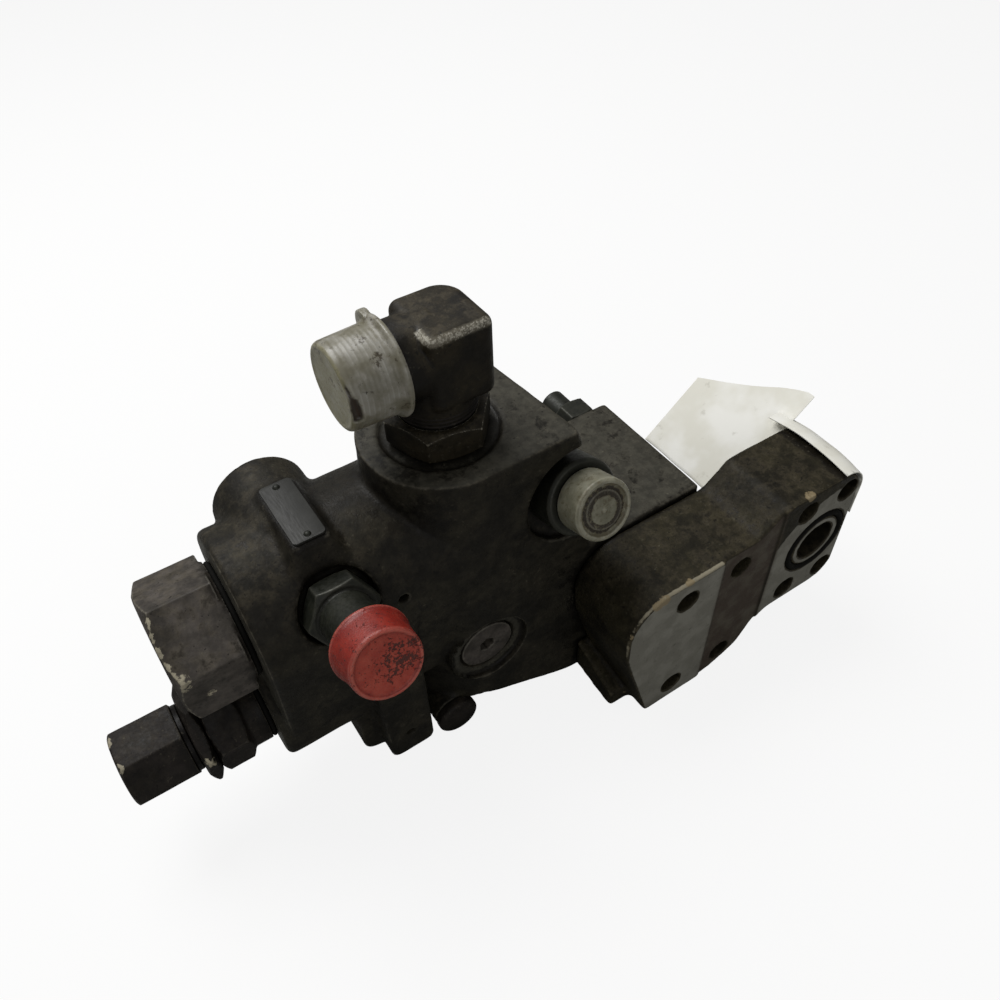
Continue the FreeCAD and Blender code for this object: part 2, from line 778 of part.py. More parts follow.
def relief_spring():
    start = plate_disc_x0 + plate_disc_thickness
    return coil(relief_coil_r, relief_wire_r, relief_dart()[1] - start, relief_turns, V(start, 0, relief_z), EAST)


def relief_spring_plate():
    return rod_x(relief_bore_r - slide_gap, plate_disc_x0, plate_disc_x0 + plate_disc_thickness, relief_z)


def relief_adjuster():
    head = placed(nut_blank(adjuster_hex_af, adjuster_hex_x1 - adjuster_hex_x0, adjuster_hex_turn),
                  V(adjuster_hex_x1, 0, relief_z), WEST, FRONT)
    shank = rod_x(adjuster_r, adjuster_hex_x1, plate_disc_x0, relief_z)
    return fused([head, shank])


def relief_lock_nut():
    """Nut just off the cartridge's face, so that it can turn."""
    face_x = relief_hex_x0 - lock_nut_gap
    blank = placed(nut_blank(lock_nut_af, lock_nut_thickness, relief_hex_turn, True),
                   V(face_x, 0, relief_z), WEST, FRONT)
    return drilled(blank, [rod_x(adjuster_r + thread_gap, face_x - lock_nut_thickness, face_x, relief_z)])


def check_plug():
    depth = check_plug_depth - check_plug_end_gap
    lip_r = check_plug_r + check_lip
    profile = [(0, 0), (lip_r, 0), (lip_r, check_lip_height), (check_plug_r, check_lip_height + check_lip)]
    profile += [(check_plug_r, depth), (0, depth)]
    plug = turned(profile, V(check_x, check_face_y, check_z), BACK)
    socket = placed(hexagon(check_socket_af, check_socket_depth, 0), V(check_x, check_face_y, check_z), BACK)
    return drilled(plug, [socket])


def check_poppet():
    guide_r = check_bore_r - run_gap
    wall = check_cup_wall
    nose = guide_r - check_seat_r
    back = check_seat_y - check_cup_length
    face = check_cup_length - seat_gap
    cup_floor = check_cup_length - check_nose_wall
    profile = [(guide_r - wall, 0), (guide_r, 0), (guide_r, face)]
    profile += [(check_seat_r - slide_gap, face), (check_seat_r - nose, check_cup_length + nose)]
    profile += [(0, check_cup_length + nose), (0, cup_floor), (guide_r - wall, cup_floor)]
    return turned(profile, V(check_x, back, check_z), BACK)


def check_spring():
    start = check_face_y + check_plug_depth - check_plug_end_gap
    end = check_seat_y - check_nose_wall
    return coil(check_coil_r, check_wire_r, end - start, check_turns, V(check_x, start, check_z), BACK)


def drain_adapter():
    seat = port_seal_thickness
    hexagon_end = nut_blank(drain_hex_af, drain_hex_length, 0, True)
    hexagon_end.translate(V(0, 0, seat))
    stub = rod_z(drain_stub_r, seat + drain_hex_length, drain_stub_end - drain_floor)
    thread = rod_z(drain_thread_r, port_thread_end + port_thread_gap - drain_floor, seat)
    whole = fused([hexagon_end, stub, thread])
    bore = rod_z(drain_bore_r, port_thread_end - drain_floor, drain_stub_end - drain_floor)
    return on_port(drain_x, drilled(whole, [bore]), drain_floor)


def port_seal(x, floor):
    inner = drain_thread_r + seal_gap
    outer = inner + port_seal_width
    profile = [(inner, 0), (outer, 0), (outer, port_seal_thickness), (inner, port_seal_thickness)]
    return on_port(x, turned(profile), floor)


def drain_seal():
    return port_seal(drain_x, drain_floor)


def drain_cap():
    """Flanged push-on cap: a thin rim, a tapered skirt and a slightly sunk face."""
    inner = drain_stub_r + push_gap
    length = drain_cap_end - drain_rim_at
    roof = length - drain_cap_roof
    profile = [(inner, 0), (drain_rim_r, 0), (drain_rim_r, drain_rim_thickness)]
    profile += [(drain_cap_r + drain_cap_taper, drain_rim_thickness), (drain_cap_r, length - drain_cap_edge)]
    profile += [(drain_cap_r - drain_cap_edge, length)]
    profile += [(0, length), (0, roof), (inner, roof)]
    return on_port(drain_x, turned(profile), drain_rim_at)


def pilot_adapter():
    seat = port_seal_thickness
    top = pilot_collar_end - pilot_floor
    collar = turned([(0, seat), (pilot_collar_r, seat), (pilot_collar_r, top - pilot_collar_edge),
                     (pilot_collar_r - pilot_collar_edge, top), (0, top)])
    stub = rod_z(pilot_stub_r, top, pilot_stub_end - pilot_floor)
    thread = rod_z(drain_thread_r, port_thread_end + port_thread_gap - pilot_floor, seat)
    whole = fused([collar, stub, thread])
    bore = rod_z(drain_bore_r, port_thread_end - pilot_floor, pilot_stub_end - pilot_floor)
    return on_port(pilot_x, drilled(whole, [bore]), pilot_floor)


def pilot_seal():
    return port_seal(pilot_x, pilot_floor)


def pilot_cap():
    inner = pilot_stub_r + push_gap
    start = pilot_collar_end + pilot_cap_lift
    length = pilot_cap_end - start
    roof = pilot_stub_end - start + pilot_cap_roof_gap
    profile = [(inner, 0), (pilot_cap_r, 0), (pilot_cap_r, length - pilot_cap_edge)]
    profile += [(pilot_cap_r - pilot_cap_edge, length), (pilot_cap_dish_r, length)]
    profile += [(pilot_cap_dish_r - pilot_cap_edge, length - pilot_cap_dish)]
    profile += [(0, length - pilot_cap_dish), (0, roof), (inner, roof)]
    return on_port(pilot_x, turned(profile), start)


def elbow_lock_nut():
    start = deck_z - deck_spot_depth
    blank = nut_blank(elbow_nut_af, elbow_nut_z1 - start, elbow_nut_turn, True)
    blank.translate(V(0, 0, start))
    return drilled(blank, [rod_z(elbow_stem_r + thread_gap, start, elbow_nut_z1)])


def elbow_body():
    half = elbow_half
    plan = [(elbow_left_x, -half, elbow_corner), (elbow_right_x, -half, elbow_corner)]
    plan += [(elbow_right_x, half, elbow_back_corner), (elbow_left_x, half, elbow_corner)]
    block = plate_xy(plan, elbow_block_z0, elbow_top_z)
    block = block.makeFillet(elbow_edge, [edge for edge in block.Edges if edge.BoundBox.ZLength < flat_tolerance])
    neck = rod_z(elbow_stem_r, elbow_stem_z0, elbow_axis_z)
    outlet = rod_x(elbow_neck_r, elbow_outlet_x0, 0, elbow_axis_z)
    shoulder = rod_x(elbow_shoulder_r, elbow_cap_x1 + elbow_shoulder_gap, 0, elbow_axis_z)
    whole = fused([block, neck, outlet, shoulder])
    bores = [rod_z(elbow_bore_r, elbow_stem_z0, elbow_axis_z), rod_x(elbow_bore_r, elbow_outlet_x0, 0, elbow_axis_z)]
    bores.append(Part.makeSphere(elbow_bore_r, V(0, 0, elbow_axis_z)))
    return drilled(whole, bores)


def elbow_cap():
    inner = elbow_neck_r + 0.15
    length = elbow_cap_x1 - elbow_cap_x0
    roof = elbow_cap_x1 - elbow_outlet_x0 + 0.3
    profile = [(inner, 0), (elbow_cap_rim_r, 0), (elbow_cap_rim_r, elbow_cap_rim), (elbow_cap_r + 0.4, elbow_cap_rim)]
    profile += [(elbow_cap_r, length - 1.5), (elbow_cap_r - 1.5, length), (0, length), (0, roof), (inner, roof)]
    return turned(profile, V(elbow_cap_x1, 0, elbow_axis_z), WEST)


def core_plug():
    """Press-in plug: chamfered head on the foot boss and a shank in its bore."""
    head = half_depth + foot_boss_y
    profile = [(0, 0), (foot_boss_r - core_plug_chamfer, 0), (foot_boss_r, core_plug_chamfer), (foot_boss_r, head)]
    profile += [(core_plug_r, head), (core_plug_r, head + core_plug_depth - 1), (0, head + core_plug_depth - 1)]
    return turned(profile, V(foot_boss_x, -half_depth, foot_boss_z), BACK)


def name_plate():
    w = plate_width / 2
    h = plate_length / 2
    corners = [(plate_x - w, plate_y - h, plate_corner), (plate_x + w, plate_y - h, plate_corner)]
    corners += [(plate_x + w, plate_y + h, plate_corner), (plate_x - w, plate_y + h, plate_corner)]
    plate = plate_xy(corners, plate_pad_z, plate_pad_z + plate_thickness)
    return plate


def plate_rivets():
    top = plate_pad_z + plate_thickness
    heads = []
    for side in (-1, 1):
        y = plate_y + side * (plate_length / 2 - rivet_inset)
        ball = Part.makeSphere(rivet_r * 1.25, V(plate_x, y, top - rivet_r * 0.5))
        cutter = span(plate_x - 5, plate_x + 5, y - 5, y + 5, top, top + 5)
        heads.append(ball.common(cutter))
    return Part.Compound(heads)


def flange_studs():
    return Part.Compound([rod_y(stud_r, stud_tip_y, stud_end_y, x, z) for x, z in stud_places()])


def flange_washers():
    rings = []
    for x, z in stud_places():
        ring = rod_y(washer_r, half_depth, half_depth + washer_thickness, x, z)
        rings.append(ring.cut(rod_y(stud_r + 0.4, half_depth, half_depth + washer_thickness, x, z)))
    return Part.Compound(rings)


def flange_nuts():
    nuts = []
    start = half_depth + washer_thickness
    for x, z in stud_places():
        blank = placed(nut_blank(nut_af, nut_height, 0, True), V(x, start, z), BACK, EAST)
        nuts.append(blank.cut(rod_y(stud_r + thread_gap, start, start + nut_height, x, z)))
    return Part.Compound(nuts)


def port_o_ring():
    middle = (port_groove_r0 + port_groove_r1) / 2
    wire_r = (port_groove_depth + port_ring_stand) / 2
    return o_ring(middle, wire_r, V(port_x, block_front_y - port_ring_stand + wire_r, port_z), FRONT)


def joint_o_ring():
    middle = (joint_groove_r0 + joint_groove_r1) / 2
    wire_r = joint_groove_depth / 2 - seal_gap
    return o_ring(middle, wire_r, V(flange_x, -half_depth - joint_groove_depth / 2, flange_z), FRONT)


def paper_label():
    """Blank strip folded over the tower's top corner, its free end sloping down behind the tower."""
    corner_x = tower_end_x - tower_corner
    corner_z = tower_top_z - tower_corner
    inner = tower_corner + paper_gap
    outer = inner + paper_thickness
    lap = span(corner_x, tower_end_x + 2, block_front_y, paper_band_y1, corner_z, tower_top_z + 2)
    ring = rod_y(outer, block_front_y, paper_band_y1, corner_x, corner_z)
    ring = ring.cut(rod_y(inner, block_front_y, paper_band_y1, corner_x, corner_z))
    side = span(corner_x + inner, corner_x + outer, block_front_y, paper_band_y1, paper_side_z, corner_z)
    low = (paper_low_x, paper_low_z)
    high = (paper_high_x, paper_high_z)
    profile = [(low[0], low[1], 0), (high[0], high[1], 0)]
    profile += [(high[0], high[1] + paper_thickness, 0), (low[0], low[1] + paper_thickness, 0)]
    slope = plate_xz(profile, -half_depth + paper_gap, paper_back_y)
    plan = [(low[0] - 1, -half_depth, 0), (low[0] - 1, paper_back_y + 1, 0), (corner_x, paper_back_y + 1, 0)]
    plan += [(tower_end_x, -half_depth / 2, 0), (high[0] + 1, -half_depth, 0)]
    free_end = slope.common(plate_xy(plan, 0, deck_z))
    return fused([ring.common(lap), side, free_end])


pieces = {
    "valve_body": valve_body,
    "flange_block": flange_block,
    "spring_cap": spring_cap,
    "cap_seal": cap_seal,
    "main_spool": main_spool,
    "main_spring": main_spring,
    "spring_seat": spring_seat,
    "relief_body": relief_body,
    "relief_seal": relief_seal,
    "relief_poppet": relief_poppet,
    "relief_spring": relief_spring,
    "relief_spring_plate": relief_spring_plate,
    "relief_adjuster": relief_adjuster,
    "relief_lock_nut": relief_lock_nut,
    "check_plug": check_plug,
    "check_poppet": check_poppet,
    "check_spring": check_spring,
    "drain_adapter": drain_adapter,
    "drain_seal": drain_seal,
    "drain_cap": drain_cap,
    "pilot_adapter": pilot_adapter,
    "pilot_seal": pilot_seal,
    "pilot_cap": pilot_cap,
    "elbow_lock_nut": elbow_lock_nut,
    "elbow_body": elbow_body,
    "elbow_cap": elbow_cap,
    "core_plug": core_plug,
    "name_plate": name_plate,
    "plate_rivets": plate_rivets,
    "flange_studs": flange_studs,
    "flange_washers": flange_washers,
    "flange_nuts": flange_nuts,
    "port_o_ring": port_o_ring,
    "joint_o_ring": joint_o_ring,
    "paper_label": paper_label,
}


def footprint_middle():
    """Middle of the overall length and depth, on the resting plane."""
    ring_front_y = block_front_y - port_ring_stand
    return V((adjuster_hex_x0 + paper_high_x) / 2, (ring_front_y + stud_end_y) / 2, body_floor_z)


os.makedirs("parts", exist_ok=True)
for name, make in pieces.items():
    shape = make()
    shape.translate(-footprint_middle())
    shape.exportStep("parts/" + name + ".step")
    print(name, len(shape.Solids), round(shape.Volume), shape.isValid())
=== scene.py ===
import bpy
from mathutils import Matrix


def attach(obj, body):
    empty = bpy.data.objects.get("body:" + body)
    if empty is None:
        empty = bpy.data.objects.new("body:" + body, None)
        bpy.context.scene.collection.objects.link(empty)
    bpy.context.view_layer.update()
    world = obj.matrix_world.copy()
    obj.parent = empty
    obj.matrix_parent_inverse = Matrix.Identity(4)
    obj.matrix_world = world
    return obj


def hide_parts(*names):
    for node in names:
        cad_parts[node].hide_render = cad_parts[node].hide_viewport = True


bl_info = {
    "name": "Hose rupture valve",
    "version": (1, 0, 0),
    "blender": (4, 5, 0),
    "location": "View3D > Sidebar > Valve",
    "description": "Worn castings, fittings and shipping caps of an excavator's hose rupture valve",
    "category": "Object",
}

import math

import bpy
import numpy as np
from bpy.props import FloatProperty, FloatVectorProperty, PointerProperty
from mathutils import Matrix, Vector
from mathutils.bvhtree import BVHTree

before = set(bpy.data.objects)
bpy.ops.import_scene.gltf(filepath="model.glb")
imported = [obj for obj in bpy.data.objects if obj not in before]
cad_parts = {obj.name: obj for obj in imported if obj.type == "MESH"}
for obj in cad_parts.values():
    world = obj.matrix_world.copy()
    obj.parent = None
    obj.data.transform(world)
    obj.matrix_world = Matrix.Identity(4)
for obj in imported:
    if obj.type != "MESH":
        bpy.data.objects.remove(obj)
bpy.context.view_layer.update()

MM = 0.001

# Middle of the object's length and depth, seen from the axis of the top port (drawing millimetres)
FOOT_X = 9.0
FOOT_Y = -4.64

# Places on the drawing, in millimetres
SPOOL_Z = 98.5
RELIEF_Z = 49.0
SLAB_TOP_Z = 81.0
LEFT_END_X = -83.0
RELIEF_FACE_X = -86.0
BLOCK_FRONT_Y = -66.0
PORT_TILT = 20.0
PORT_FOOT_Z = 102.0
DRAIN_X = -55.0
PILOT_X = 35.0
CHECK_X = -3.2
FLANGE_X = 77.2
FLANGE_Z = 39.0
PORT_X = 134.6
PORT_Z = 55.5
STUD_X = 76.5
ELBOW_Z = 173.0
LUG_HOLE_X = -41.7
LUG_HOLE_Z = 24.2
SIDE_HOLE_X = -34.7
SIDE_HOLE_Z = 105.0
FOOT_BOSS_X = -20.2
FOOT_BOSS_Z = 13.6

# The channel between the left pad and the right one
LEFT_PAD_END_X = 80.5
RIGHT_PAD_START_X = 109.8

# Bolt patterns: middle x, middle z, spacing along x, spacing along z
STUD_PATTERN = (STUD_X, FLANGE_Z, 24.0, 57.2)
PAD_PATTERN = (FLANGE_X, FLANGE_Z, 27.8, 57.2)
PORT_PATTERN = (PORT_X, PORT_Z, 22.2, 47.6)
PAD_HOLE_R = 5.3
PAD_HOLE_DEPTH = 15.0
PORT_HOLE_R = 5.5
PORT_HOLE_DEPTH = 36.0

# The skin's deck is milled a little below the drawing's
DECK_CUT_Z = 140.6

# How far dirt and painted shade reach from a neighbour, on castings and on fittings, in millimetres
CAST_DIRT_AND_SHADE_REACH = 3.5
FITTING_DIRT_AND_SHADE_REACH = 6.5

# A Wave Texture's phase is 20 times place times scale
THREAD_PITCH = 1.6
THREAD_WAVES = 2 * math.pi / (20 * THREAD_PITCH * MM)


# Helpers


def at(x, y, z):
    """A point of the drawing as a point of the scene, in metres."""
    return Vector(((x - FOOT_X) * MM, (y - FOOT_Y) * MM, z * MM))


def port_point(x, reach):
    """A point on a pilot port's tilted axis, in drawing millimetres."""
    tilt = math.radians(PORT_TILT)
    return (x, -reach * math.cos(tilt), PORT_FOOT_Z + reach * math.sin(tilt))


def four_places(x, z, spacing_x, spacing_z):
    """Corners of a bolt pattern, as drawing x and z."""
    return [(x + i * spacing_x / 2, z + j * spacing_z / 2) for i in (-1, 1) for j in (-1, 1)]


def pick(*objects):
    """Selects only these objects, the first one active."""
    bpy.ops.object.select_all(action="DESELECT")
    for obj in objects:
        obj.select_set(True)
    bpy.context.view_layer.objects.active = objects[0]


def settle(obj):
    """Moves an object's place, turn and size into its mesh."""
    pick(obj)
    bpy.ops.object.transform_apply(location=True, rotation=True, scale=True)
    return obj


def modify(obj, kind, **settings):
    """Adds a modifier, sets it and applies it."""
    pick(obj)
    modifier = obj.modifiers.new(kind.title(), kind)
    for key, value in settings.items():
        setattr(modifier, key, value)
    bpy.ops.object.modifier_apply(modifier=modifier.name)
    return obj


def tidy_mesh(obj, outward=True):
    """Merges doubles and turns the faces outwards."""
    pick(obj)
    bpy.ops.object.mode_set(mode="EDIT")
    bpy.ops.mesh.select_all(action="SELECT")
    bpy.ops.mesh.remove_doubles(threshold=0.001 * MM)
    if outward:
        bpy.ops.mesh.normals_make_consistent(inside=False)
    bpy.ops.object.mode_set(mode="OBJECT")
    return obj


def join(name, pieces):
    pick(*pieces)
    if len(pieces) > 1:
        bpy.ops.object.join()
    obj = bpy.context.view_layer.objects.active
    obj.name = name
    obj.data.name = name
    return obj


def remove(*objects):
    for obj in objects:
        bpy.data.objects.remove(obj)


def node_copy(node, name):
    """Merged copy of a CAD node's mesh, as a start for a finer piece."""
    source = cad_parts[node]
    obj = bpy.data.objects.new(name, source.data.copy())
    bpy.context.scene.collection.objects.link(obj)
    obj.data.materials.clear()
    return tidy_mesh(obj, outward=False)


def rod(radius, start, end, sides=64, name="rod"):
    """Round bar between two drawing points."""
    first = at(*start)
    last = at(*end)
    run = last - first
    bpy.ops.object.select_all(action="DESELECT")
    bpy.ops.mesh.primitive_cylinder_add(
        vertices=sides,
        radius=radius * MM,
        depth=run.length,
        location=(first + last) / 2,
        rotation=run.to_track_quat("Z", "Y").to_euler(),
    )
    obj = bpy.context.view_layer.objects.active
    obj.name = name
    return settle(obj)


def slab(low, high, name="slab"):
    """Box between two drawing corners."""
    first = at(*low)
    last = at(*high)
    bpy.ops.object.select_all(action="DESELECT")
    bpy.ops.mesh.primitive_cube_add(size=1, location=(first + last) / 2)
    obj = bpy.context.view_layer.objects.active
    obj.name = name
    obj.scale = last - first
    return settle(obj)


def turned(name, profile, start, towards, sides=72):
    """Turned piece: a disc extruded up its axis through (radius, height) pairs in millimetres."""
    radius, height = profile[0]
    bpy.ops.object.select_all(action="DESELECT")
    bpy.ops.mesh.primitive_circle_add(
        vertices=sides, radius=radius * MM, fill_type="NGON", location=(0, 0, height * MM)
    )
    obj = bpy.context.view_layer.objects.active
    obj.name = name
    obj.data.name = name
    settle(obj)
    bpy.ops.object.mode_set(mode="EDIT")
    bpy.ops.mesh.select_all(action="SELECT")
    for next_radius, next_height in profile[1:]:
        bpy.ops.mesh.extrude_region_move(
            TRANSFORM_OT_translate={"value": (0, 0, (next_height - height) * MM)}
        )
        factor = next_radius / radius
        bpy.ops.transform.resize(
            value=(factor, factor, 1), center_override=(0, 0, next_height * MM)
        )
        radius, height = next_radius, next_height
    bpy.ops.object.mode_set(mode="OBJECT")
    first = at(*start)
    run = at(*towards) - first
    turn = run.to_track_quat("Z", "Y").to_matrix().to_4x4()
    obj.data.transform(Matrix.Translation(first) @ turn)
    return tidy_mesh(obj)


def cut(obj, cutters, operation="DIFFERENCE", solver="MANIFOLD"):
    """Cuts a piece with other pieces, one after the other, and takes them away."""
    for cutter in cutters:
        modify(obj, "BOOLEAN", object=cutter, operation=operation, solver=solver)
        remove(cutter)
    return obj


def voxels(obj, size, rounds, factor=0.5):
    """Fuses overlapping shells into one skin of that grain, and softens its edges."""
    modify(obj, "REMESH", mode="VOXEL", voxel_size=size * MM, use_smooth_shade=True)
    if rounds:
        modify(obj, "SMOOTH", factor=factor, iterations=rounds)
    return obj


def lumps(obj, wave, height):
    """Uneven surface with waves that long and that high, in millimetres."""
    texture = bpy.data.textures.new("lumps", "CLOUDS")
    texture.noise_scale = wave * MM
    texture.noise_depth = 2
    modify(
        obj,
        "DISPLACE",
        texture=texture,
        texture_coords="LOCAL",
        strength=height * MM,
        mid_level=0.5,
    )
    bpy.data.textures.remove(texture)
    return obj


def arrays(obj):
    """Vertex places, vertex normals and edge ends of a mesh."""
    mesh = obj.data
    count = len(mesh.vertices)
    places = np.empty(count * 3, np.float32)
    normals = np.empty(count * 3, np.float32)
    ends = np.empty(len(mesh.edges) * 2, np.int32)
    mesh.vertices.foreach_get("co", places)
    mesh.vertices.foreach_get("normal", normals)
    mesh.edges.foreach_get("vertices", ends)
    return places.reshape(-1, 3), normals.reshape(-1, 3), ends.reshape(-1, 2)


def spread(values, ends, rounds):
    """Averages a value of each vertex with its neighbours."""
    count = len(values)
    links = np.maximum(
        np.bincount(ends[:, 0], minlength=count) + np.bincount(ends[:, 1], minlength=count), 1
    )
    for _ in range(rounds):
        near = np.bincount(ends[:, 0], weights=values[ends[:, 1]], minlength=count)
        near += np.bincount(ends[:, 1], weights=values[ends[:, 0]], minlength=count)
        values = 0.5 * values + 0.5 * near / links
    return values


def write_attribute(obj, name, values):
    attribute = obj.data.attributes.get(name) or obj.data.attributes.new(name, "FLOAT", "POINT")
    attribute.data.foreach_set("value", np.ascontiguousarray(values, np.float32))


def mark_edges(obj, grain, rounds=2):
    """Writes how much each point stands out (wear) or lies in a corner (pit)."""
    places, normals, ends = arrays(obj)
    count = len(places)
    total = np.zeros((count, 3))
    for axis in range(3):
        total[:, axis] += np.bincount(
            ends[:, 0], weights=places[ends[:, 1], axis] - places[ends[:, 0], axis], minlength=count
        )
        total[:, axis] += np.bincount(
            ends[:, 1], weights=places[ends[:, 0], axis] - places[ends[:, 1], axis], minlength=count
        )
    links = np.bincount(ends[:, 0], minlength=count) + np.bincount(ends[:, 1], minlength=count)
    bend = -(total * normals).sum(axis=1) / np.maximum(links, 1) / (grain * MM)
    bend = spread(bend, ends, rounds)
    write_attribute(obj, "wear", np.clip(bend * 6.0, 0, 1))
    write_attribute(obj, "pit", np.clip(-bend * 6.0, 0, 1))
    write_attribute(obj, "up", np.clip(spread(normals[:, 2].astype(float), ends, 3), 0, 1))
    return obj


def mark_where(obj, name, test):
    """Writes the value that the test gives each point, from its drawing place and normal."""
    places, normals, ends = arrays(obj)
    drawn = places / MM + np.array([FOOT_X, FOOT_Y, 0.0])
    values = test(drawn[:, 0], drawn[:, 1], drawn[:, 2], normals).astype(float)
    write_attribute(obj, name, spread(values, ends, 2))
    return obj


def mark_near(obj, nodes, reach):
    """Writes how close each point lies to the pieces that meet this one, where dirt gathers and where shade
    is painted.
    """
    nearest = np.full(len(obj.data.vertices), reach * MM)
    for node in nodes:
        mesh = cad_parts[node].data
        tree = BVHTree.FromPolygons(
            [vertex.co for vertex in mesh.vertices], [face.vertices for face in mesh.polygons]
        )
        for index, vertex in enumerate(obj.data.vertices):
            found = tree.find_nearest(vertex.co, nearest[index])
            if found[3] is not None:
                nearest[index] = min(nearest[index], found[3])
    write_attribute(obj, "grime", 1 - nearest / (reach * MM))
    return obj


def thin_out(obj, most):
    """Thins a mesh to at most that many triangles, the flat parts first."""
    triangles = sum(len(face.vertices) - 2 for face in obj.data.polygons)
    if triangles > most:
        modify(obj, "DECIMATE", ratio=most / triangles, use_collapse_triangulate=True)
    return obj


def smooth(obj, angle=40.0):
    pick(obj)
    bpy.ops.object.shade_smooth_by_angle(angle=math.radians(angle))
    return obj


def finish_piece(obj, body, material, slot, *nodes):
    """Gives a piece its material, the body it moves with and the nodes it stands for."""
    obj.data.materials.clear()
    obj.data.materials.append(material)
    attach(obj, body)
    if nodes:
        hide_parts(*nodes)
    return obj


# Materials


def linear(text):
    """sRGB hex colour as linear red, green, blue and 1."""
    channels = [int(text[i : i + 2], 16) / 255 for i in (0, 2, 4)]
    return [c / 12.92 if c <= 0.04045 else ((c + 0.055) / 1.055) ** 2.4 for c in channels] + [1.0]


def add(tree, kind, settings=None, links=None):
    """Adds a node with its settings, and links or values for its inputs."""
    made = tree.nodes.new(kind)
    for key, value in (settings or {}).items():
        setattr(made, key, value)
    for socket, source in (links or {}).items():
        if isinstance(source, bpy.types.NodeSocket):
            tree.links.new(source, made.inputs[socket])
        else:
            made.inputs[socket].default_value = source
    return made


def begin(name):
    """New material with its shader, output and Object coordinates."""
    material = bpy.data.materials.new(name)
    material.use_nodes = True
    tree = material.node_tree
    tree.nodes.clear()
    shader = add(tree, "ShaderNodeBsdfPrincipled")
    add(tree, "ShaderNodeOutputMaterial", links={"Surface": shader.outputs[0]})
    place = add(tree, "ShaderNodeTexCoord").outputs["Object"]
    return material, tree, shader, place


def reopen(material):
    """A finished material's tree, shader, colour so far and Object coordinates, to paint over."""
    tree = material.node_tree
    shader = next(made for made in tree.nodes if made.type == "BSDF_PRINCIPLED")
    place = next(made for made in tree.nodes if made.type == "TEX_COORD").outputs["Object"]
    return tree, shader, shader.inputs["Base Color"].links[0].from_socket, place


def waxy(shader, radius):
    """Polythene that light enters, to that many metres in red, green and blue."""
    shader.inputs["Subsurface Weight"].default_value = 0.3
    shader.inputs["Subsurface Radius"].default_value = radius
    shader.inputs["IOR"].default_value = 1.51


def cloud(tree, place, size, detail=4.0, rough=0.55, distortion=0.0):
    """Noise whose blotches are about that many millimetres across."""
    made = add(
        tree,
        "ShaderNodeTexNoise",
        links={
            "Vector": place,
            "Scale": 1 / (size * MM),
            "Detail": detail,
            "Roughness": rough,
            "Distortion": distortion,
        },
    )
    return made.outputs["Fac"]


def step(tree, value, low, high, out_low=0.0, out_high=1.0):
    """Smooth step of a value between two levels."""
    made = add(
        tree,
        "ShaderNodeMapRange",
        {"interpolation_type": "SMOOTHSTEP"},
        {"Value": value, "From Min": low, "From Max": high, "To Min": out_low, "To Max": out_high},
    )
    return made.outputs[0]


def times(tree, first, second, operation="MULTIPLY"):
    return add(tree, "ShaderNodeMath", {"operation": operation}, {0: first, 1: second}).outputs[0]


def blend(tree, factor, first, second):
    made = add(tree, "ShaderNodeMix", {"data_type": "RGBA"}, {0: factor, 6: first, 7: second})
    return made.outputs[2]


def attribute(tree, name):
    return add(tree, "ShaderNodeAttribute", {"attribute_name": name}).outputs["Fac"]


def spots(tree, place, places, reach):
    """1 within that many millimetres of any of the drawing points, fading outwards."""
    whole = None
    for point in places:
        gap = add(
            tree,
            "ShaderNodeVectorMath",
            {"operation": "DISTANCE"},
            {0: place, 1: at(*point)},
        ).outputs["Value"]
        near = step(tree, gap, 0.35 * reach * MM, reach * MM, 1.0, 0.0)
        whole = near if whole is None else times(tree, whole, near, "MAXIMUM")
    return whole


def bump(tree, shader, height, depth, strength=1.0):
    """Relief of that depth in millimetres from a 0 to 1 height."""
    made = add(
        tree,
        "ShaderNodeBump",
        links={"Strength": strength, "Distance": depth * MM, "Height": height},
    )
    tree.links.new(made.outputs[0], shader.inputs["Normal"])
    return made


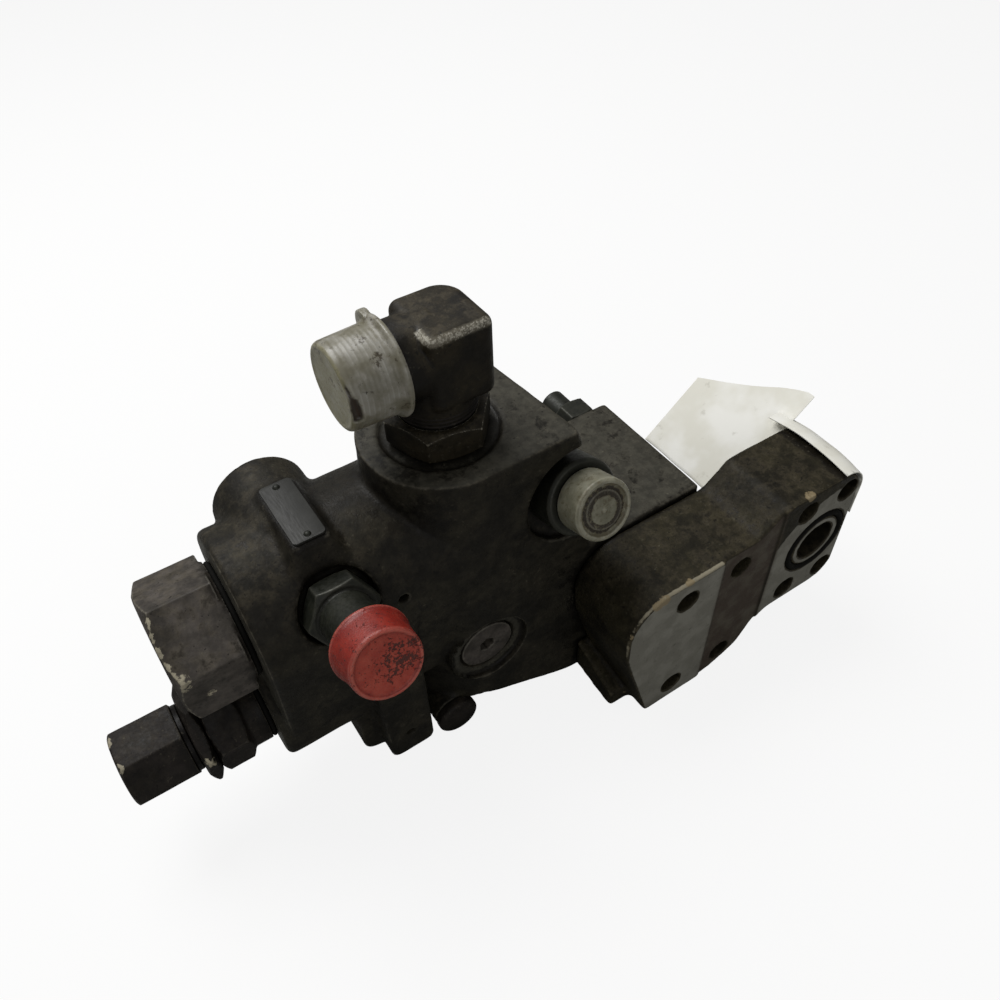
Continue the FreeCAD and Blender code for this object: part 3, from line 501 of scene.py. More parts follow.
def worn_paint(
    name,
    base,
    light,
    dirt,
    bare,
    grain,
    depth,
    soil=1.0,
    dust=0.3,
    spec=0.3,
    chips=(),
    chip_reach=5.0,
    oily=(),
    oil_reach=26.0,
):
    """Old satin paint on iron or steel: dull blotches, oily dirt, settled dust, painted shade next to other
    pieces, rubbed edges with light rims that are partly painted highlight, and chips.
    """
    material, tree, shader, place = begin(name)
    blotch = cloud(tree, place, 24.0, 5.0, 0.6)
    stain = cloud(tree, place, 7.5, 9.0, 0.74, 0.12)
    fine = cloud(tree, place, 1.7, 6.0, 0.7)
    grit = cloud(tree, place, grain, 3.0, 0.5)
    speck = cloud(tree, place, 1.5, 2.0, 0.5)
    wear = attribute(tree, "wear")
    pit = attribute(tree, "pit")
    up = attribute(tree, "up")
    machined = attribute(tree, "machined")

    colour = blend(tree, step(tree, blotch, 0.42, 0.58), linear(base), linear(light))
    settled = times(tree, step(tree, stain, 0.44, 0.6), times(tree, up, dust))
    colour = blend(tree, settled, colour, linear("5a5241"))
    colour = blend(tree, times(tree, machined, 0.8), colour, linear("45433b"))
    level = times(tree, stain, times(tree, pit, 0.35), "ADD")
    level = times(tree, level, times(tree, attribute(tree, "grime"), 0.22), "ADD")
    if oily:
        level = times(tree, level, times(tree, spots(tree, place, oily, oil_reach), 0.1), "ADD")
    grease = step(tree, level, 0.54, 0.66)
    # Near the pieces that meet this one the paint goes dark: grime, and painted shade in the gaps
    gap_shade_and_soot = times(tree, attribute(tree, "grime"), attribute(tree, "grime"))
    colour = blend(tree, times(tree, gap_shade_and_soot, 0.85), colour, linear(dirt))
    colour = blend(tree, times(tree, grease, 0.75 * soil), colour, linear(dirt))
    colour = blend(tree, times(tree, step(tree, speck, 0.68, 0.72), 0.8), colour, linear(dirt))
    dry = times(tree, step(tree, fine, 0.58, 0.68), step(tree, blotch, 0.42, 0.6))
    colour = blend(tree, times(tree, dry, 0.3), colour, linear("6f6a5b"))
    rubbed = step(tree, times(tree, wear, times(tree, fine, 0.3, "ADD")), 0.3, 0.55)
    colour = blend(tree, times(tree, rubbed, 0.6), colour, linear(bare))
    # Light line along the marked rims: wear, and on the barrel's end, the cap's chamfer and the elbow's and
    # nut's upper edges a painted highlight
    rim = step(tree, times(tree, attribute(tree, "rim"), times(tree, fine, 1.2, "ADD")), 0.95, 1.45)
    colour = blend(tree, times(tree, rim, 0.5), colour, linear("857f70"))
    if chips:
        near = spots(tree, place, chips, chip_reach)
        ragged = times(tree, times(tree, near, 0.55), times(tree, fine, 0.9), "ADD")
        ragged = times(tree, ragged, times(tree, wear, 0.3), "ADD")
        colour = blend(tree, step(tree, ragged, 0.99, 1.06), colour, linear("9d9682"))
    shade = step(tree, cloud(tree, place, 3.6, 6.0, 0.66), 0.34, 0.66, 0.72, 1.26)
    colour = add(tree, "ShaderNodeHueSaturation", links={"Color": colour, "Value": shade}).outputs[0]
    tree.links.new(colour, shader.inputs["Base Color"])

    rough = step(tree, fine, 0.3, 0.7, 0.5, 0.66)
    rough = times(tree, rough, times(tree, grease, 0.14), "SUBTRACT")
    rough = times(tree, rough, times(tree, machined, 0.08), "SUBTRACT")
    tree.links.new(rough, shader.inputs["Roughness"])
    shader.inputs["Specular IOR Level"].default_value = spec
    relief = times(tree, grit, times(tree, fine, 1.6), "ADD")
    relief = times(tree, relief, times(tree, grease, 0.4), "ADD")
    soft = step(tree, machined, 0.0, 1.0, 1.0, 0.35)
    bump(tree, shader, times(tree, relief, soft), depth)
    return material


# Where the paint is chipped, and where oil and grime have gathered, in drawing millimetres
PAD_CHIPS = (
    (47.5, -66.0, 76.5),
    (51.0, -65.8, 77.5),
    (38.0, -65.5, 75.0),
    (63.0, -65.5, 80.0),
    (34.8, -65.5, 66.0),
    (122.6, -64.6, 88.6),
    (46.7, -54.0, 6.0),
)
HEXAGON_CHIPS = (
    (-108.6, -6.0, 121.5),
    (-108.6, -10.0, 119.0),
    (-108.6, -14.0, 116.0),
    (-108.6, -18.0, 113.0),
    (-107.6, -21.0, 110.5),
    (-105.5, -22.0, 109.0),
    (-106.0, -22.5, 105.5),
    (-100.0, -20.5, 96.0),
    (-112.0, -18.2, 55.0),
    (-110.0, -18.2, 54.0),
    (-137.6, -7.5, 62.0),
    (-137.6, 4.0, 62.0),
)
CAP_STAINS = (
    (-34.0, 6.0, 183.5),
    (-33.8, 9.5, 179.0),
    (-34.0, -2.0, 175.5),
    (-34.0, -8.0, 179.0),
    (-22.0, -9.5, 184.5),
    (-24.0, -2.5, 187.6),
    (-16.2, -10.5, 184.0),
    (-15.5, 2.0, 189.0),
    (-16.0, -15.5, 168.0),
)
GRIMY_PLACES = (port_point(DRAIN_X + 6.0, 66.0), port_point(DRAIN_X + 3.0, 66.0))
OILY_PLACES = ((0.0, 0.0, 143.0), (-18.0, -12.0, 128.0), (34.0, -30.0, 112.0), (-40.0, 8.0, 126.0))


def cast_iron_paint():
    """Olive-brown primer on sand-cast iron: a fine sandy skin, dull and almost black in the corners."""
    return worn_paint(
        "painted sand-cast iron",
        base="1e1c17",
        light="2b2820",
        dirt="0f0d0a",
        bare="545046",
        grain=0.9,
        depth=0.1,
        spec=0.16,
        oily=OILY_PLACES,
    )


def block_paint():
    """The primer on the bolted block: milled pads of bare grey, a rusty channel and tan chips."""
    material = worn_paint(
        "painted cast block",
        base="1d1a11",
        light="2b271a",
        dirt="0f0c07",
        bare="4f4838",
        grain=0.9,
        depth=0.1,
        spec=0.16,
        chips=PAD_CHIPS,
        chip_reach=3.6,
    )
    tree, shader, painted, place = reopen(material)
    haze = cloud(tree, place, 9.0, 5.0)
    pad = blend(tree, step(tree, haze, 0.4, 0.65), linear("77756c"), linear("86847b"))
    oil = step(tree, cloud(tree, place, 3.0, 6.0, 0.7), 0.6, 0.68)
    pad = blend(tree, times(tree, oil, 0.5), pad, linear("2f2b24"))
    bared = times(tree, attribute(tree, "pad"), times(tree, attribute(tree, "wear"), 0.5), "SUBTRACT")
    colour = blend(tree, step(tree, bared, 0.3, 0.7), painted, pad)
    line = times(tree, attribute(tree, "rim"), cloud(tree, place, 1.6, 5.0, 0.7), "ADD")
    colour = blend(tree, times(tree, step(tree, line, 0.95, 1.25), 0.6), colour, linear("a8a08a"))
    tan = times(tree, spots(tree, place, PAD_CHIPS, 4.6), cloud(tree, place, 2.2, 6.0, 0.72), "ADD")
    colour = blend(tree, times(tree, step(tree, tan, 1.3, 1.42), 0.85), colour, linear("8b7c5f"))
    rust = blend(tree, step(tree, haze, 0.4, 0.65), linear("453c34"), linear("565046"))
    colour = blend(tree, attribute(tree, "channel"), colour, rust)
    tree.links.new(colour, shader.inputs["Base Color"])
    return material


def steel_paint():
    """Grey-brown satin paint on turned hexagon steel, with pale filler chips at the corners."""
    return worn_paint(
        "painted hexagon steel",
        base="38342f",
        light="4d4843",
        dirt="171410",
        bare="6e6a62",
        grain=0.5,
        depth=0.03,
        soil=0.9,
        dust=0.35,
        spec=0.2,
        chips=HEXAGON_CHIPS,
        chip_reach=4.2,
    )


def shaded_steel():
    """The same steel painted darker, partly where oil and grime have blackened it and partly as painted
    shade: cartridge, nut, plugs and adjuster.
    """
    return worn_paint(
        "sooty hexagon steel",
        base="1a1714",
        light="24201d",
        dirt="0d0a08",
        bare="4c4841",
        grain=0.5,
        depth=0.03,
        soil=0.8,
        dust=0.15,
        spec=0.14,
        chips=HEXAGON_CHIPS,
        chip_reach=4.2,
    )


def forged_steel():
    """Phosphated forged steel: dark and slightly glossy, its upper edges lit by a speckled painted highlight.
    """
    material = worn_paint(
        "phosphated forged steel",
        base="17140e",
        light="262116",
        dirt="0a0805",
        bare="4f4a3c",
        grain=0.6,
        depth=0.06,
        dust=0.4,
        spec=0.22,
    )
    tree, shader, painted, place = reopen(material)
    # A speckled light line on the upper edges and the marked rims: a painted highlight
    sharp = times(tree, attribute(tree, "wear"), step(tree, attribute(tree, "up"), 0.15, 0.5))
    shelf = times(tree, times(tree, attribute(tree, "rim"), sharp, "MAXIMUM"), 0.44)
    edge_highlight = times(tree, shelf, times(tree, cloud(tree, place, 0.8, 6.0, 0.8), 1.3), "ADD")
    edge_highlight = times(tree, edge_highlight, times(tree, cloud(tree, place, 7.0), 0.3), "ADD")
    colour = blend(tree, times(tree, step(tree, edge_highlight, 1.16, 1.28), 0.85), painted, linear("b0ac9f"))
    tree.links.new(colour, shader.inputs["Base Color"])
    return material


def zinc_plate():
    """Dull zinc-plated steel: dark grey-green, with a soft metal sheen and oil in the corners."""
    material, tree, shader, place = begin("dull zinc plate")
    bloom = cloud(tree, place, 5.0, 4.0, 0.6)
    fine = cloud(tree, place, 1.2, 4.0, 0.6)
    colour = blend(tree, step(tree, bloom, 0.35, 0.68), linear("191b14"), linear("27281f"))
    colour = blend(tree, times(tree, attribute(tree, "pit"), 0.8), colour, linear("14110d"))
    colour = blend(tree, times(tree, attribute(tree, "wear"), 0.4), colour, linear("5f5d52"))
    tree.links.new(colour, shader.inputs["Base Color"])
    shader.inputs["Metallic"].default_value = 0.35
    tree.links.new(step(tree, fine, 0.3, 0.7, 0.38, 0.6), shader.inputs["Roughness"])
    bump(tree, shader, fine, 0.02)
    return material


def ground_steel():
    """Ground and hardened steel: bright, with faint rings about 9 mm apart along X."""
    material, tree, shader, place = begin("ground steel")
    rings = add(
        tree,
        "ShaderNodeTexWave",
        {"bands_direction": "X"},
        {"Vector": place, "Scale": 1 / (1.5 * MM) / 20, "Distortion": 0.4, "Detail": 2.0},
    ).outputs["Fac"]
    colour = blend(tree, cloud(tree, place, 6.0), linear("8f9092"), linear("b4b5b6"))
    tree.links.new(colour, shader.inputs["Base Color"])
    shader.inputs["Metallic"].default_value = 1.0
    tree.links.new(step(tree, rings, 0.0, 1.0, 0.22, 0.34), shader.inputs["Roughness"])
    bump(tree, shader, rings, 0.004)
    return material


def nitrile():
    """Nitrile rubber of the O-rings: black, matt, with a fine moulded skin."""
    material, tree, shader, place = begin("nitrile rubber")
    skin = cloud(tree, place, 0.5, 3.0)
    colour = blend(tree, cloud(tree, place, 4.0), linear("0c0c0b"), linear("171613"))
    tree.links.new(colour, shader.inputs["Base Color"])
    tree.links.new(step(tree, skin, 0.3, 0.7, 0.75, 0.9), shader.inputs["Roughness"])
    shader.inputs["IOR"].default_value = 1.52
    shader.inputs["Specular IOR Level"].default_value = 0.1
    bump(tree, shader, skin, 0.02)
    return material


def red_polythene():
    """Moulded red polythene: waxy, lit from inside, with brown grime pressed into the face."""
    material, tree, shader, place = begin("red polythene")
    haze = cloud(tree, place, 4.0, 4.0)
    fine = cloud(tree, place, 0.9, 5.0, 0.7)
    smear = cloud(tree, place, 3.2, 8.0, 0.78, 0.2)
    wall = blend(tree, step(tree, haze, 0.35, 0.7), linear("7c1d13"), linear("8e281b"))
    face = blend(tree, step(tree, haze, 0.35, 0.7), linear("a53726"), linear("b84b38"))
    colour = blend(tree, attribute(tree, "ring"), wall, face)
    # The lighter pink on the convex edges is a painted highlight along the rim
    colour = blend(tree, times(tree, attribute(tree, "wear"), 0.8), colour, linear("cc7565"))
    low = spots(tree, place, GRIMY_PLACES, 9.0)
    level = times(tree, times(tree, fine, smear, "ADD"), times(tree, low, 0.16), "ADD")
    grime = step(tree, level, 1.14, 1.2)
    colour = blend(tree, times(tree, grime, 0.85), colour, linear("2e120d"))
    colour = blend(tree, times(tree, attribute(tree, "pit"), 0.6), colour, linear("4a120c"))
    tree.links.new(colour, shader.inputs["Base Color"])
    waxy(shader, (0.003, 0.0007, 0.0005))
    tree.links.new(step(tree, fine, 0.3, 0.7, 0.36, 0.54), shader.inputs["Roughness"])
    bump(tree, shader, times(tree, fine, grime, "SUBTRACT"), 0.12)
    return material


def milky_polythene():
    """Natural polythene of the small plug: milky, with yellow-brown oil baked round its recess."""
    material, tree, shader, place = begin("milky polythene plug")
    haze = cloud(tree, place, 5.0, 4.0)
    fine = cloud(tree, place, 0.8, 5.0, 0.7)
    smear = cloud(tree, place, 2.6, 8.0, 0.78, 0.3)
    colour = blend(tree, step(tree, haze, 0.35, 0.7), linear("747260"), linear("8b8977"))
    pit = attribute(tree, "pit")
    halo = times(tree, step(tree, pit, 0.02, 0.3), 0.12)
    ring = attribute(tree, "ring")
    soaked = times(tree, ring, 0.2)
    amber = step(tree, times(tree, times(tree, smear, halo, "ADD"), soaked, "ADD"), 0.5, 0.62)
    colour = blend(tree, times(tree, amber, 0.7), colour, linear("564b30"))
    crust = times(tree, times(tree, smear, 1.3), times(tree, fine, 0.7), "ADD")
    crust = step(tree, times(tree, crust, times(tree, ring, 0.36), "ADD"), 1.22, 1.3)
    colour = blend(tree, times(tree, crust, 0.9), colour, linear("241b10"))
    colour = blend(tree, times(tree, attribute(tree, "wear"), 0.7), colour, linear("b9b5a2"))
    tree.links.new(colour, shader.inputs["Base Color"])
    waxy(shader, (0.003, 0.0026, 0.0018))
    tree.links.new(step(tree, fine, 0.3, 0.7, 0.34, 0.55), shader.inputs["Roughness"])
    bump(tree, shader, times(tree, fine, crust, "ADD"), 0.08)
    return material


def cloudy_polythene():
    """Thin clear polythene of the big cap: the thread shows through as pale rings of painted highlight, grime
    at the rim.
    """
    material, tree, shader, place = begin("cloudy polythene cap")
    haze = cloud(tree, place, 7.0, 4.0)
    fine = cloud(tree, place, 0.9, 5.0, 0.7)
    smear = cloud(tree, place, 4.0, 8.0, 0.74, 0.4)
    colour = blend(tree, step(tree, haze, 0.36, 0.66), linear("6f6b5a"), linear("918e84"))
    rings = add(
        tree,
        "ShaderNodeTexWave",
        {"bands_direction": "X", "wave_profile": "SIN"},
        {"Vector": place, "Scale": THREAD_WAVES, "Distortion": 0.6, "Detail": 2.0, "Detail Scale": 1.5},
    ).outputs["Fac"]
    # Pale rings where the thread shows through: painted highlights on its ridges
    seen = times(tree, step(tree, rings, 0.72, 0.95), step(tree, haze, 0.46, 0.64))
    colour = blend(tree, times(tree, seen, 0.3), colour, linear("b9b8b0"))
    aged = times(tree, attribute(tree, "ring"), step(tree, smear, 0.35, 0.6, 0.35, 0.8))
    colour = blend(tree, aged, colour, linear("85805f"))
    dirt = step(tree, times(tree, smear, times(tree, attribute(tree, "pit"), 0.2), "ADD"), 0.57, 0.66)
    colour = blend(tree, times(tree, dirt, 0.7), colour, linear("453c2a"))
    near = times(tree, spots(tree, place, CAP_STAINS, 4.2), 0.34)
    stained = times(tree, near, times(tree, times(tree, smear, 1.3), fine, "ADD"), "ADD")
    colour = blend(tree, times(tree, step(tree, stained, 1.5, 1.6), 0.8), colour, linear("3a301e"))
    specks = step(tree, times(tree, smear, fine, "ADD"), 1.17, 1.24)
    colour = blend(tree, times(tree, specks, 0.9), colour, linear("2a2418"))
    colour = blend(tree, attribute(tree, "tear"), colour, linear("2b2014"))
    colour = blend(tree, times(tree, attribute(tree, "wear"), 0.4), colour, linear("aba899"))
    tree.links.new(colour, shader.inputs["Base Color"])
    waxy(shader, (0.003, 0.0027, 0.0022))
    tree.links.new(step(tree, fine, 0.3, 0.7, 0.28, 0.46), shader.inputs["Roughness"])
    bump(tree, shader, times(tree, times(tree, rings, 0.5), times(tree, fine, 0.6), "ADD"), 0.07)
    return material


def rolled_aluminium():
    """Rolled aluminium sheet gone dull: mid grey, faintly brushed along its length."""
    material, tree, shader, place = begin("dull rolled aluminium")
    stretched = add(
        tree, "ShaderNodeMapping", links={"Vector": place, "Scale": (1.0, 0.06, 1.0)}
    ).outputs[0]
    brush = cloud(tree, stretched, 0.25, 3.0)
    haze = cloud(tree, place, 6.0)
    colour = blend(tree, step(tree, haze, 0.35, 0.7), linear("282825"), linear("32322f"))
    colour = blend(tree, times(tree, attribute(tree, "pit"), 0.8), colour, linear("24211b"))
    tree.links.new(colour, shader.inputs["Base Color"])
    shader.inputs["Specular IOR Level"].default_value = 0.25
    tree.links.new(step(tree, brush, 0.3, 0.7, 0.42, 0.6), shader.inputs["Roughness"])
    bump(tree, shader, brush, 0.01)
    return material


def label_paper():
    """Coated label paper: bright, matt, with soft shadows where it creases and a few grey smudges."""
    material, tree, shader, place = begin("label paper")
    crease = cloud(tree, place, 22.0, 3.0)
    fibre = cloud(tree, place, 0.6, 4.0, 0.7)
    smudge = cloud(tree, place, 7.0, 5.0, 0.6)
    colour = blend(tree, step(tree, crease, 0.4, 0.65), linear("e8e6da"), linear("f7f6ef"))
    colour = blend(tree, times(tree, step(tree, smudge, 0.62, 0.74), 0.35), colour, linear("a9a595"))
    tree.links.new(colour, shader.inputs["Base Color"])
    tree.links.new(step(tree, fibre, 0.3, 0.7, 0.6, 0.75), shader.inputs["Roughness"])
    bump(tree, shader, fibre, 0.015)
    return material


MATERIALS = {}


def material(name):
    """Each material is made once and shared."""
    makers = {
        "cast": cast_iron_paint,
        "block": block_paint,
        "steel": steel_paint,
        "forged": forged_steel,
        "zinc": zinc_plate,
        "ground": ground_steel,
        "rubber": nitrile,
        "red": red_polythene,
        "white": milky_polythene,
        "cloudy": cloudy_polythene,
        "shaded_sooty": shaded_steel,
        "aluminium": rolled_aluminium,
        "paper": label_paper,
    }
    if name not in MATERIALS:
        MATERIALS[name] = makers[name]()
    return MATERIALS[name]


# Castings


class VALVE_OT_body(bpy.types.Operator):
    """Valve body: a cast skin with soft blends, then its milled faces and bored seats"""

    bl_idname = "valve.body"
    bl_label = "Valve body"

    def execute(self, context):
        look = context.scene.valve_look
        skin = node_copy("valve_body", "valve_body_cast")
        # Fill the bores. The cuts below open only the fittings' seats and what shows. Further in, the
        # spool's and the check poppet's bores stay solid in this skin, and only the CAD node has them
        plugs = [
            rod(12.6, (-70, 0, SPOOL_Z), (39, 0, SPOOL_Z)),
            rod(19.6, (LEFT_END_X + 0.1, 0, SPOOL_Z), (-50, 0, SPOOL_Z)),
            rod(13.6, (RELIEF_FACE_X + 0.1, 0, RELIEF_Z), (-49, 0, RELIEF_Z)),
            rod(3.6, (-52, 0, RELIEF_Z), (0, 0, RELIEF_Z)),
            rod(21.6, (0, 0, 138), (0, 0, 140.9)),
            rod(13.9, (0, 0, 110), (0, 0, 140)),
            rod(16.9, (CHECK_X, -30.9, RELIEF_Z), (CHECK_X, -26, RELIEF_Z)),
            rod(12.6, (CHECK_X, -28, RELIEF_Z), (CHECK_X, 14, RELIEF_Z)),
            rod(9.0, (FLANGE_X, -30.9, FLANGE_Z), (FLANGE_X, 23, FLANGE_Z)),
            rod(9.0, (CHECK_X, 14, RELIEF_Z), (FLANGE_X, 14, FLANGE_Z)),
            rod(2.3, (LUG_HOLE_X, -30.9, LUG_HOLE_Z), (LUG_HOLE_X, -20, LUG_HOLE_Z)),
            rod(2.6, (SIDE_HOLE_X, -30.9, SIDE_HOLE_Z), (SIDE_HOLE_X, -20, SIDE_HOLE_Z)),
            rod(7.4, (FOOT_BOSS_X, -26.9, FOOT_BOSS_Z), (FOOT_BOSS_X, -15, FOOT_BOSS_Z)),
        ]
        for x, z in four_places(*STUD_PATTERN):
            plugs.append(rod(7.0, (x, -30.9, z), (x, 30.9, z)))
        skin = join("valve_body_cast", [skin] + plugs)
        voxels(skin, 1.0, 4)
        lumps(skin, 14.0, look.cast_lumps)

        seats = [
            rod(21.0, (0, 0, 139.5), (0, 0, 150), 128),
            rod(13.35, (0, 0, 120), (0, 0, 150), 96),
            rod(16.5, (CHECK_X, -40, RELIEF_Z), (CHECK_X, -28, RELIEF_Z), 96),
            rod(12.2, (CHECK_X, -40, RELIEF_Z), (CHECK_X, -26, RELIEF_Z), 96),
            rod(10.9, (CHECK_X, -40, RELIEF_Z), (CHECK_X, -10, RELIEF_Z), 96),
            rod(13.3, port_point(DRAIN_X, 24), port_point(DRAIN_X, 60), 96),
            rod(19.5, port_point(PILOT_X, 22), port_point(PILOT_X, 60), 96),
            rod(7.1, port_point(DRAIN_X, 12), port_point(DRAIN_X, 40), 48),
            rod(7.1, port_point(PILOT_X, 12), port_point(PILOT_X, 40), 48),
            rod(1.8, (LUG_HOLE_X, -40, LUG_HOLE_Z), (LUG_HOLE_X, -23, LUG_HOLE_Z), 32),
            rod(2.0, (SIDE_HOLE_X, -40, SIDE_HOLE_Z), (SIDE_HOLE_X, -24, SIDE_HOLE_Z), 32),
            rod(7.1, (FOOT_BOSS_X, -40, FOOT_BOSS_Z), (FOOT_BOSS_X, -19, FOOT_BOSS_Z), 48),
            rod(19.1, (-95, 0, SPOOL_Z), (-63.5, 0, SPOOL_Z), 96),
            rod(13.1, (-95, 0, RELIEF_Z), (-50, 0, RELIEF_Z), 96),
            slab((-60, -60, DECK_CUT_Z), (60, 60, 160)),
        ]
        for x, z in four_places(*STUD_PATTERN):
            seats.append(rod(6.6, (x, -40, z), (x, 40, z), 48))
        cut(skin, seats)
        voxels(skin, 0.75, 2, 0.45)
        mark_edges(skin, 0.75)

        def milled(x, y, z, normal):
            deck = (abs(z - DECK_CUT_Z) < 1.6) & (normal[:, 2] > 0.9)
            top = (abs(z - SLAB_TOP_Z) < 0.8) & (normal[:, 2] > 0.95) & (x > 40)
            end = (x < LEFT_END_X + 0.8) & (normal[:, 0] < -0.95)
            round_plug = (x - CHECK_X) ** 2 + (z - RELIEF_Z) ** 2 < 16.4**2
            recess = (y < -27) & (normal[:, 1] < -0.98) & round_plug
            return deck | top | end | recess

        def rim(x, y, z, normal):
            # A light line round the barrel's left end, partly wear and partly a painted highlight, and a worn
            # line along the deck's front edge
            barrel = np.hypot(y, z - SPOOL_Z)
            end = np.exp(-(((x - LEFT_END_X - 0.7) / 0.6) ** 2)) * (barrel > 27.0) * (y < 4.0)
            sloping = (normal[:, 2] > 0.2) * (normal[:, 2] < 0.95)
            deck = np.exp(-(((z - 140.1) / 0.6) ** 2)) * sloping * (y < -8.0)
            return 0.8 * end + 0.6 * deck

        mark_where(skin, "machined", milled)
        mark_where(skin, "rim", rim)
        thin_out(skin, 180000)
        # Closeness to these pieces darkens the paint: grime, and painted shade in the gaps
        around = ("name_plate", "elbow_lock_nut", "drain_adapter", "pilot_adapter", "flange_block")
        mark_near(skin, around, CAST_DIRT_AND_SHADE_REACH)
        smooth(skin, 50)
        finish_piece(skin, "housing", material("cast"), "cast_iron", "valve_body")
        return {"FINISHED"}


class VALVE_OT_block(bpy.types.Operator):
    """Flange block: a cast skin with a milled front and its drilled holes"""

    bl_idname = "valve.block"
    bl_label = "Flange block"

    def execute(self, context):
        look = context.scene.valve_look
        skin = node_copy("flange_block", "flange_block_cast")
        holes = [(x, z, PAD_HOLE_R, PAD_HOLE_DEPTH) for x, z in four_places(*PAD_PATTERN)]
        holes += [(x, z, PORT_HOLE_R, PORT_HOLE_DEPTH) for x, z in four_places(*PORT_PATTERN)]
        # Fill the holes and hidden passages. The cuts below open only what shows
        plugs = [rod(r + 0.6, (x, -65.9, z), (x, -31.1, z)) for x, z, r, depth in holes]
        plugs += [
            rod(17.0, (PORT_X, -65.9, PORT_Z), (PORT_X, -60, PORT_Z)),
            rod(10.0, (PORT_X, -65.9, PORT_Z), (PORT_X, -38, PORT_Z)),
            rod(10.0, (FLANGE_X, -49, FLANGE_Z), (PORT_X, -49, PORT_Z)),
            rod(10.0, (FLANGE_X, -55, FLANGE_Z), (FLANGE_X, -31.1, FLANGE_Z)),
            rod(21.0, (FLANGE_X, -34, FLANGE_Z), (FLANGE_X, -31.1, FLANGE_Z)),
        ]
        for x, z in four_places(*STUD_PATTERN):
            plugs.append(rod(7.0, (x, -50, z), (x, -31.1, z)))
        skin = join("flange_block_cast", [skin] + plugs)
        voxels(skin, 1.0, 3)
        lumps(skin, 12.0, look.cast_lumps)
        seats = [slab((20, -80, -10), (170, BLOCK_FRONT_Y + 0.25, 110))]
        seats.append(slab((LEFT_PAD_END_X, -80, -10), (RIGHT_PAD_START_X, -64.9, 110)))
        # The lower right hole leaves a thin wall, which the skin's grain would break at full width
        seats += [rod(r - 0.3, (x, -80, z), (x, BLOCK_FRONT_Y + depth, z), 48) for x, z, r, depth in holes]
        ring = rod(16.2, (PORT_X, -80, PORT_Z), (PORT_X, -63.4, PORT_Z), 96)
        cut(ring, [rod(12.8, (PORT_X, -90, PORT_Z), (PORT_X, -60, PORT_Z), 96)])
        seats.append(ring)
        seats.append(rod(9.5, (PORT_X, -80, PORT_Z), (PORT_X, -44, PORT_Z), 64))
        cut(skin, seats)
        voxels(skin, 0.7, 2, 0.45)
        mark_edges(skin, 0.7)

        def pads(x, y, z, normal):
            # The right pad's upper left corner was left as cast
            along = np.maximum(x - RIGHT_PAD_START_X, 0.0)
            cleaned = z < 65.0 + 20.0 * (1.0 - np.exp(-along / 12.0))
            front = (y < BLOCK_FRONT_Y + 0.8) & (normal[:, 1] < -0.9)
            return front & ((x < RIGHT_PAD_START_X) | cleaned)

        def channel(x, y, z, normal):
            return (x > 80) & (x < 110.3) & (y < BLOCK_FRONT_Y + 2) & (normal[:, 1] < -0.9)

        def border(x, y, z, normal):
            # Distance to the left pad's outline: its side, its round corner and its top
            side = np.abs(x - 35.4)
            corner = np.abs(np.hypot(x - 54.0, z - 60.0) - 18.8)
            top = np.abs(z - 78.8)
            away = np.where(z < 60.0, side, np.where(x < 54.0, corner, top))
            return np.exp(-((away / 0.8) ** 2)) * (y < BLOCK_FRONT_Y + 1.6) * (x < 80.0) * (z > 20.0)

        mark_where(skin, "pad", pads)
        mark_where(skin, "rim", border)
        mark_where(skin, "channel", channel)
        thin_out(skin, 160000)
        # Closeness to the body and the paper darkens the paint: grime, and painted shade under them
        mark_near(skin, ("valve_body", "paper_label"), CAST_DIRT_AND_SHADE_REACH)
        smooth(skin, 50)
        finish_piece(skin, "housing", material("block"), "cast_iron", "flange_block")
        return {"FINISHED"}


def worn_piece(node, name, body, paint, slot, plugs=(), grain=0.5, rounds=3, bumps=0.0, most=90000, near=()):
    """Copy of a CAD node with its edges rounded by use. Plugs fill its bores solid."""
    piece = join(name, [node_copy(node, name)] + list(plugs))
    voxels(piece, grain, rounds)
    if bumps:
        lumps(piece, 9.0, bumps)
    mark_edges(piece, grain)
    thin_out(piece, most)
    # Closeness to the neighbours darkens the paint: grime, and painted shade in the gaps
    if near:
        mark_near(piece, near, FITTING_DIRT_AND_SHADE_REACH)
    smooth(piece, 50)
    return finish_piece(piece, body, material(paint), slot, node)


def moulded(piece, body, plastic, slot, node, grain=0.32):
    """Gives a turned cap an even skin, softened edges and its plastic."""
    voxels(piece, grain, 1)
    mark_edges(piece, grain)
    thin_out(piece, 120000)
    smooth(piece, 50)
    return finish_piece(piece, body, material(plastic), slot, node)


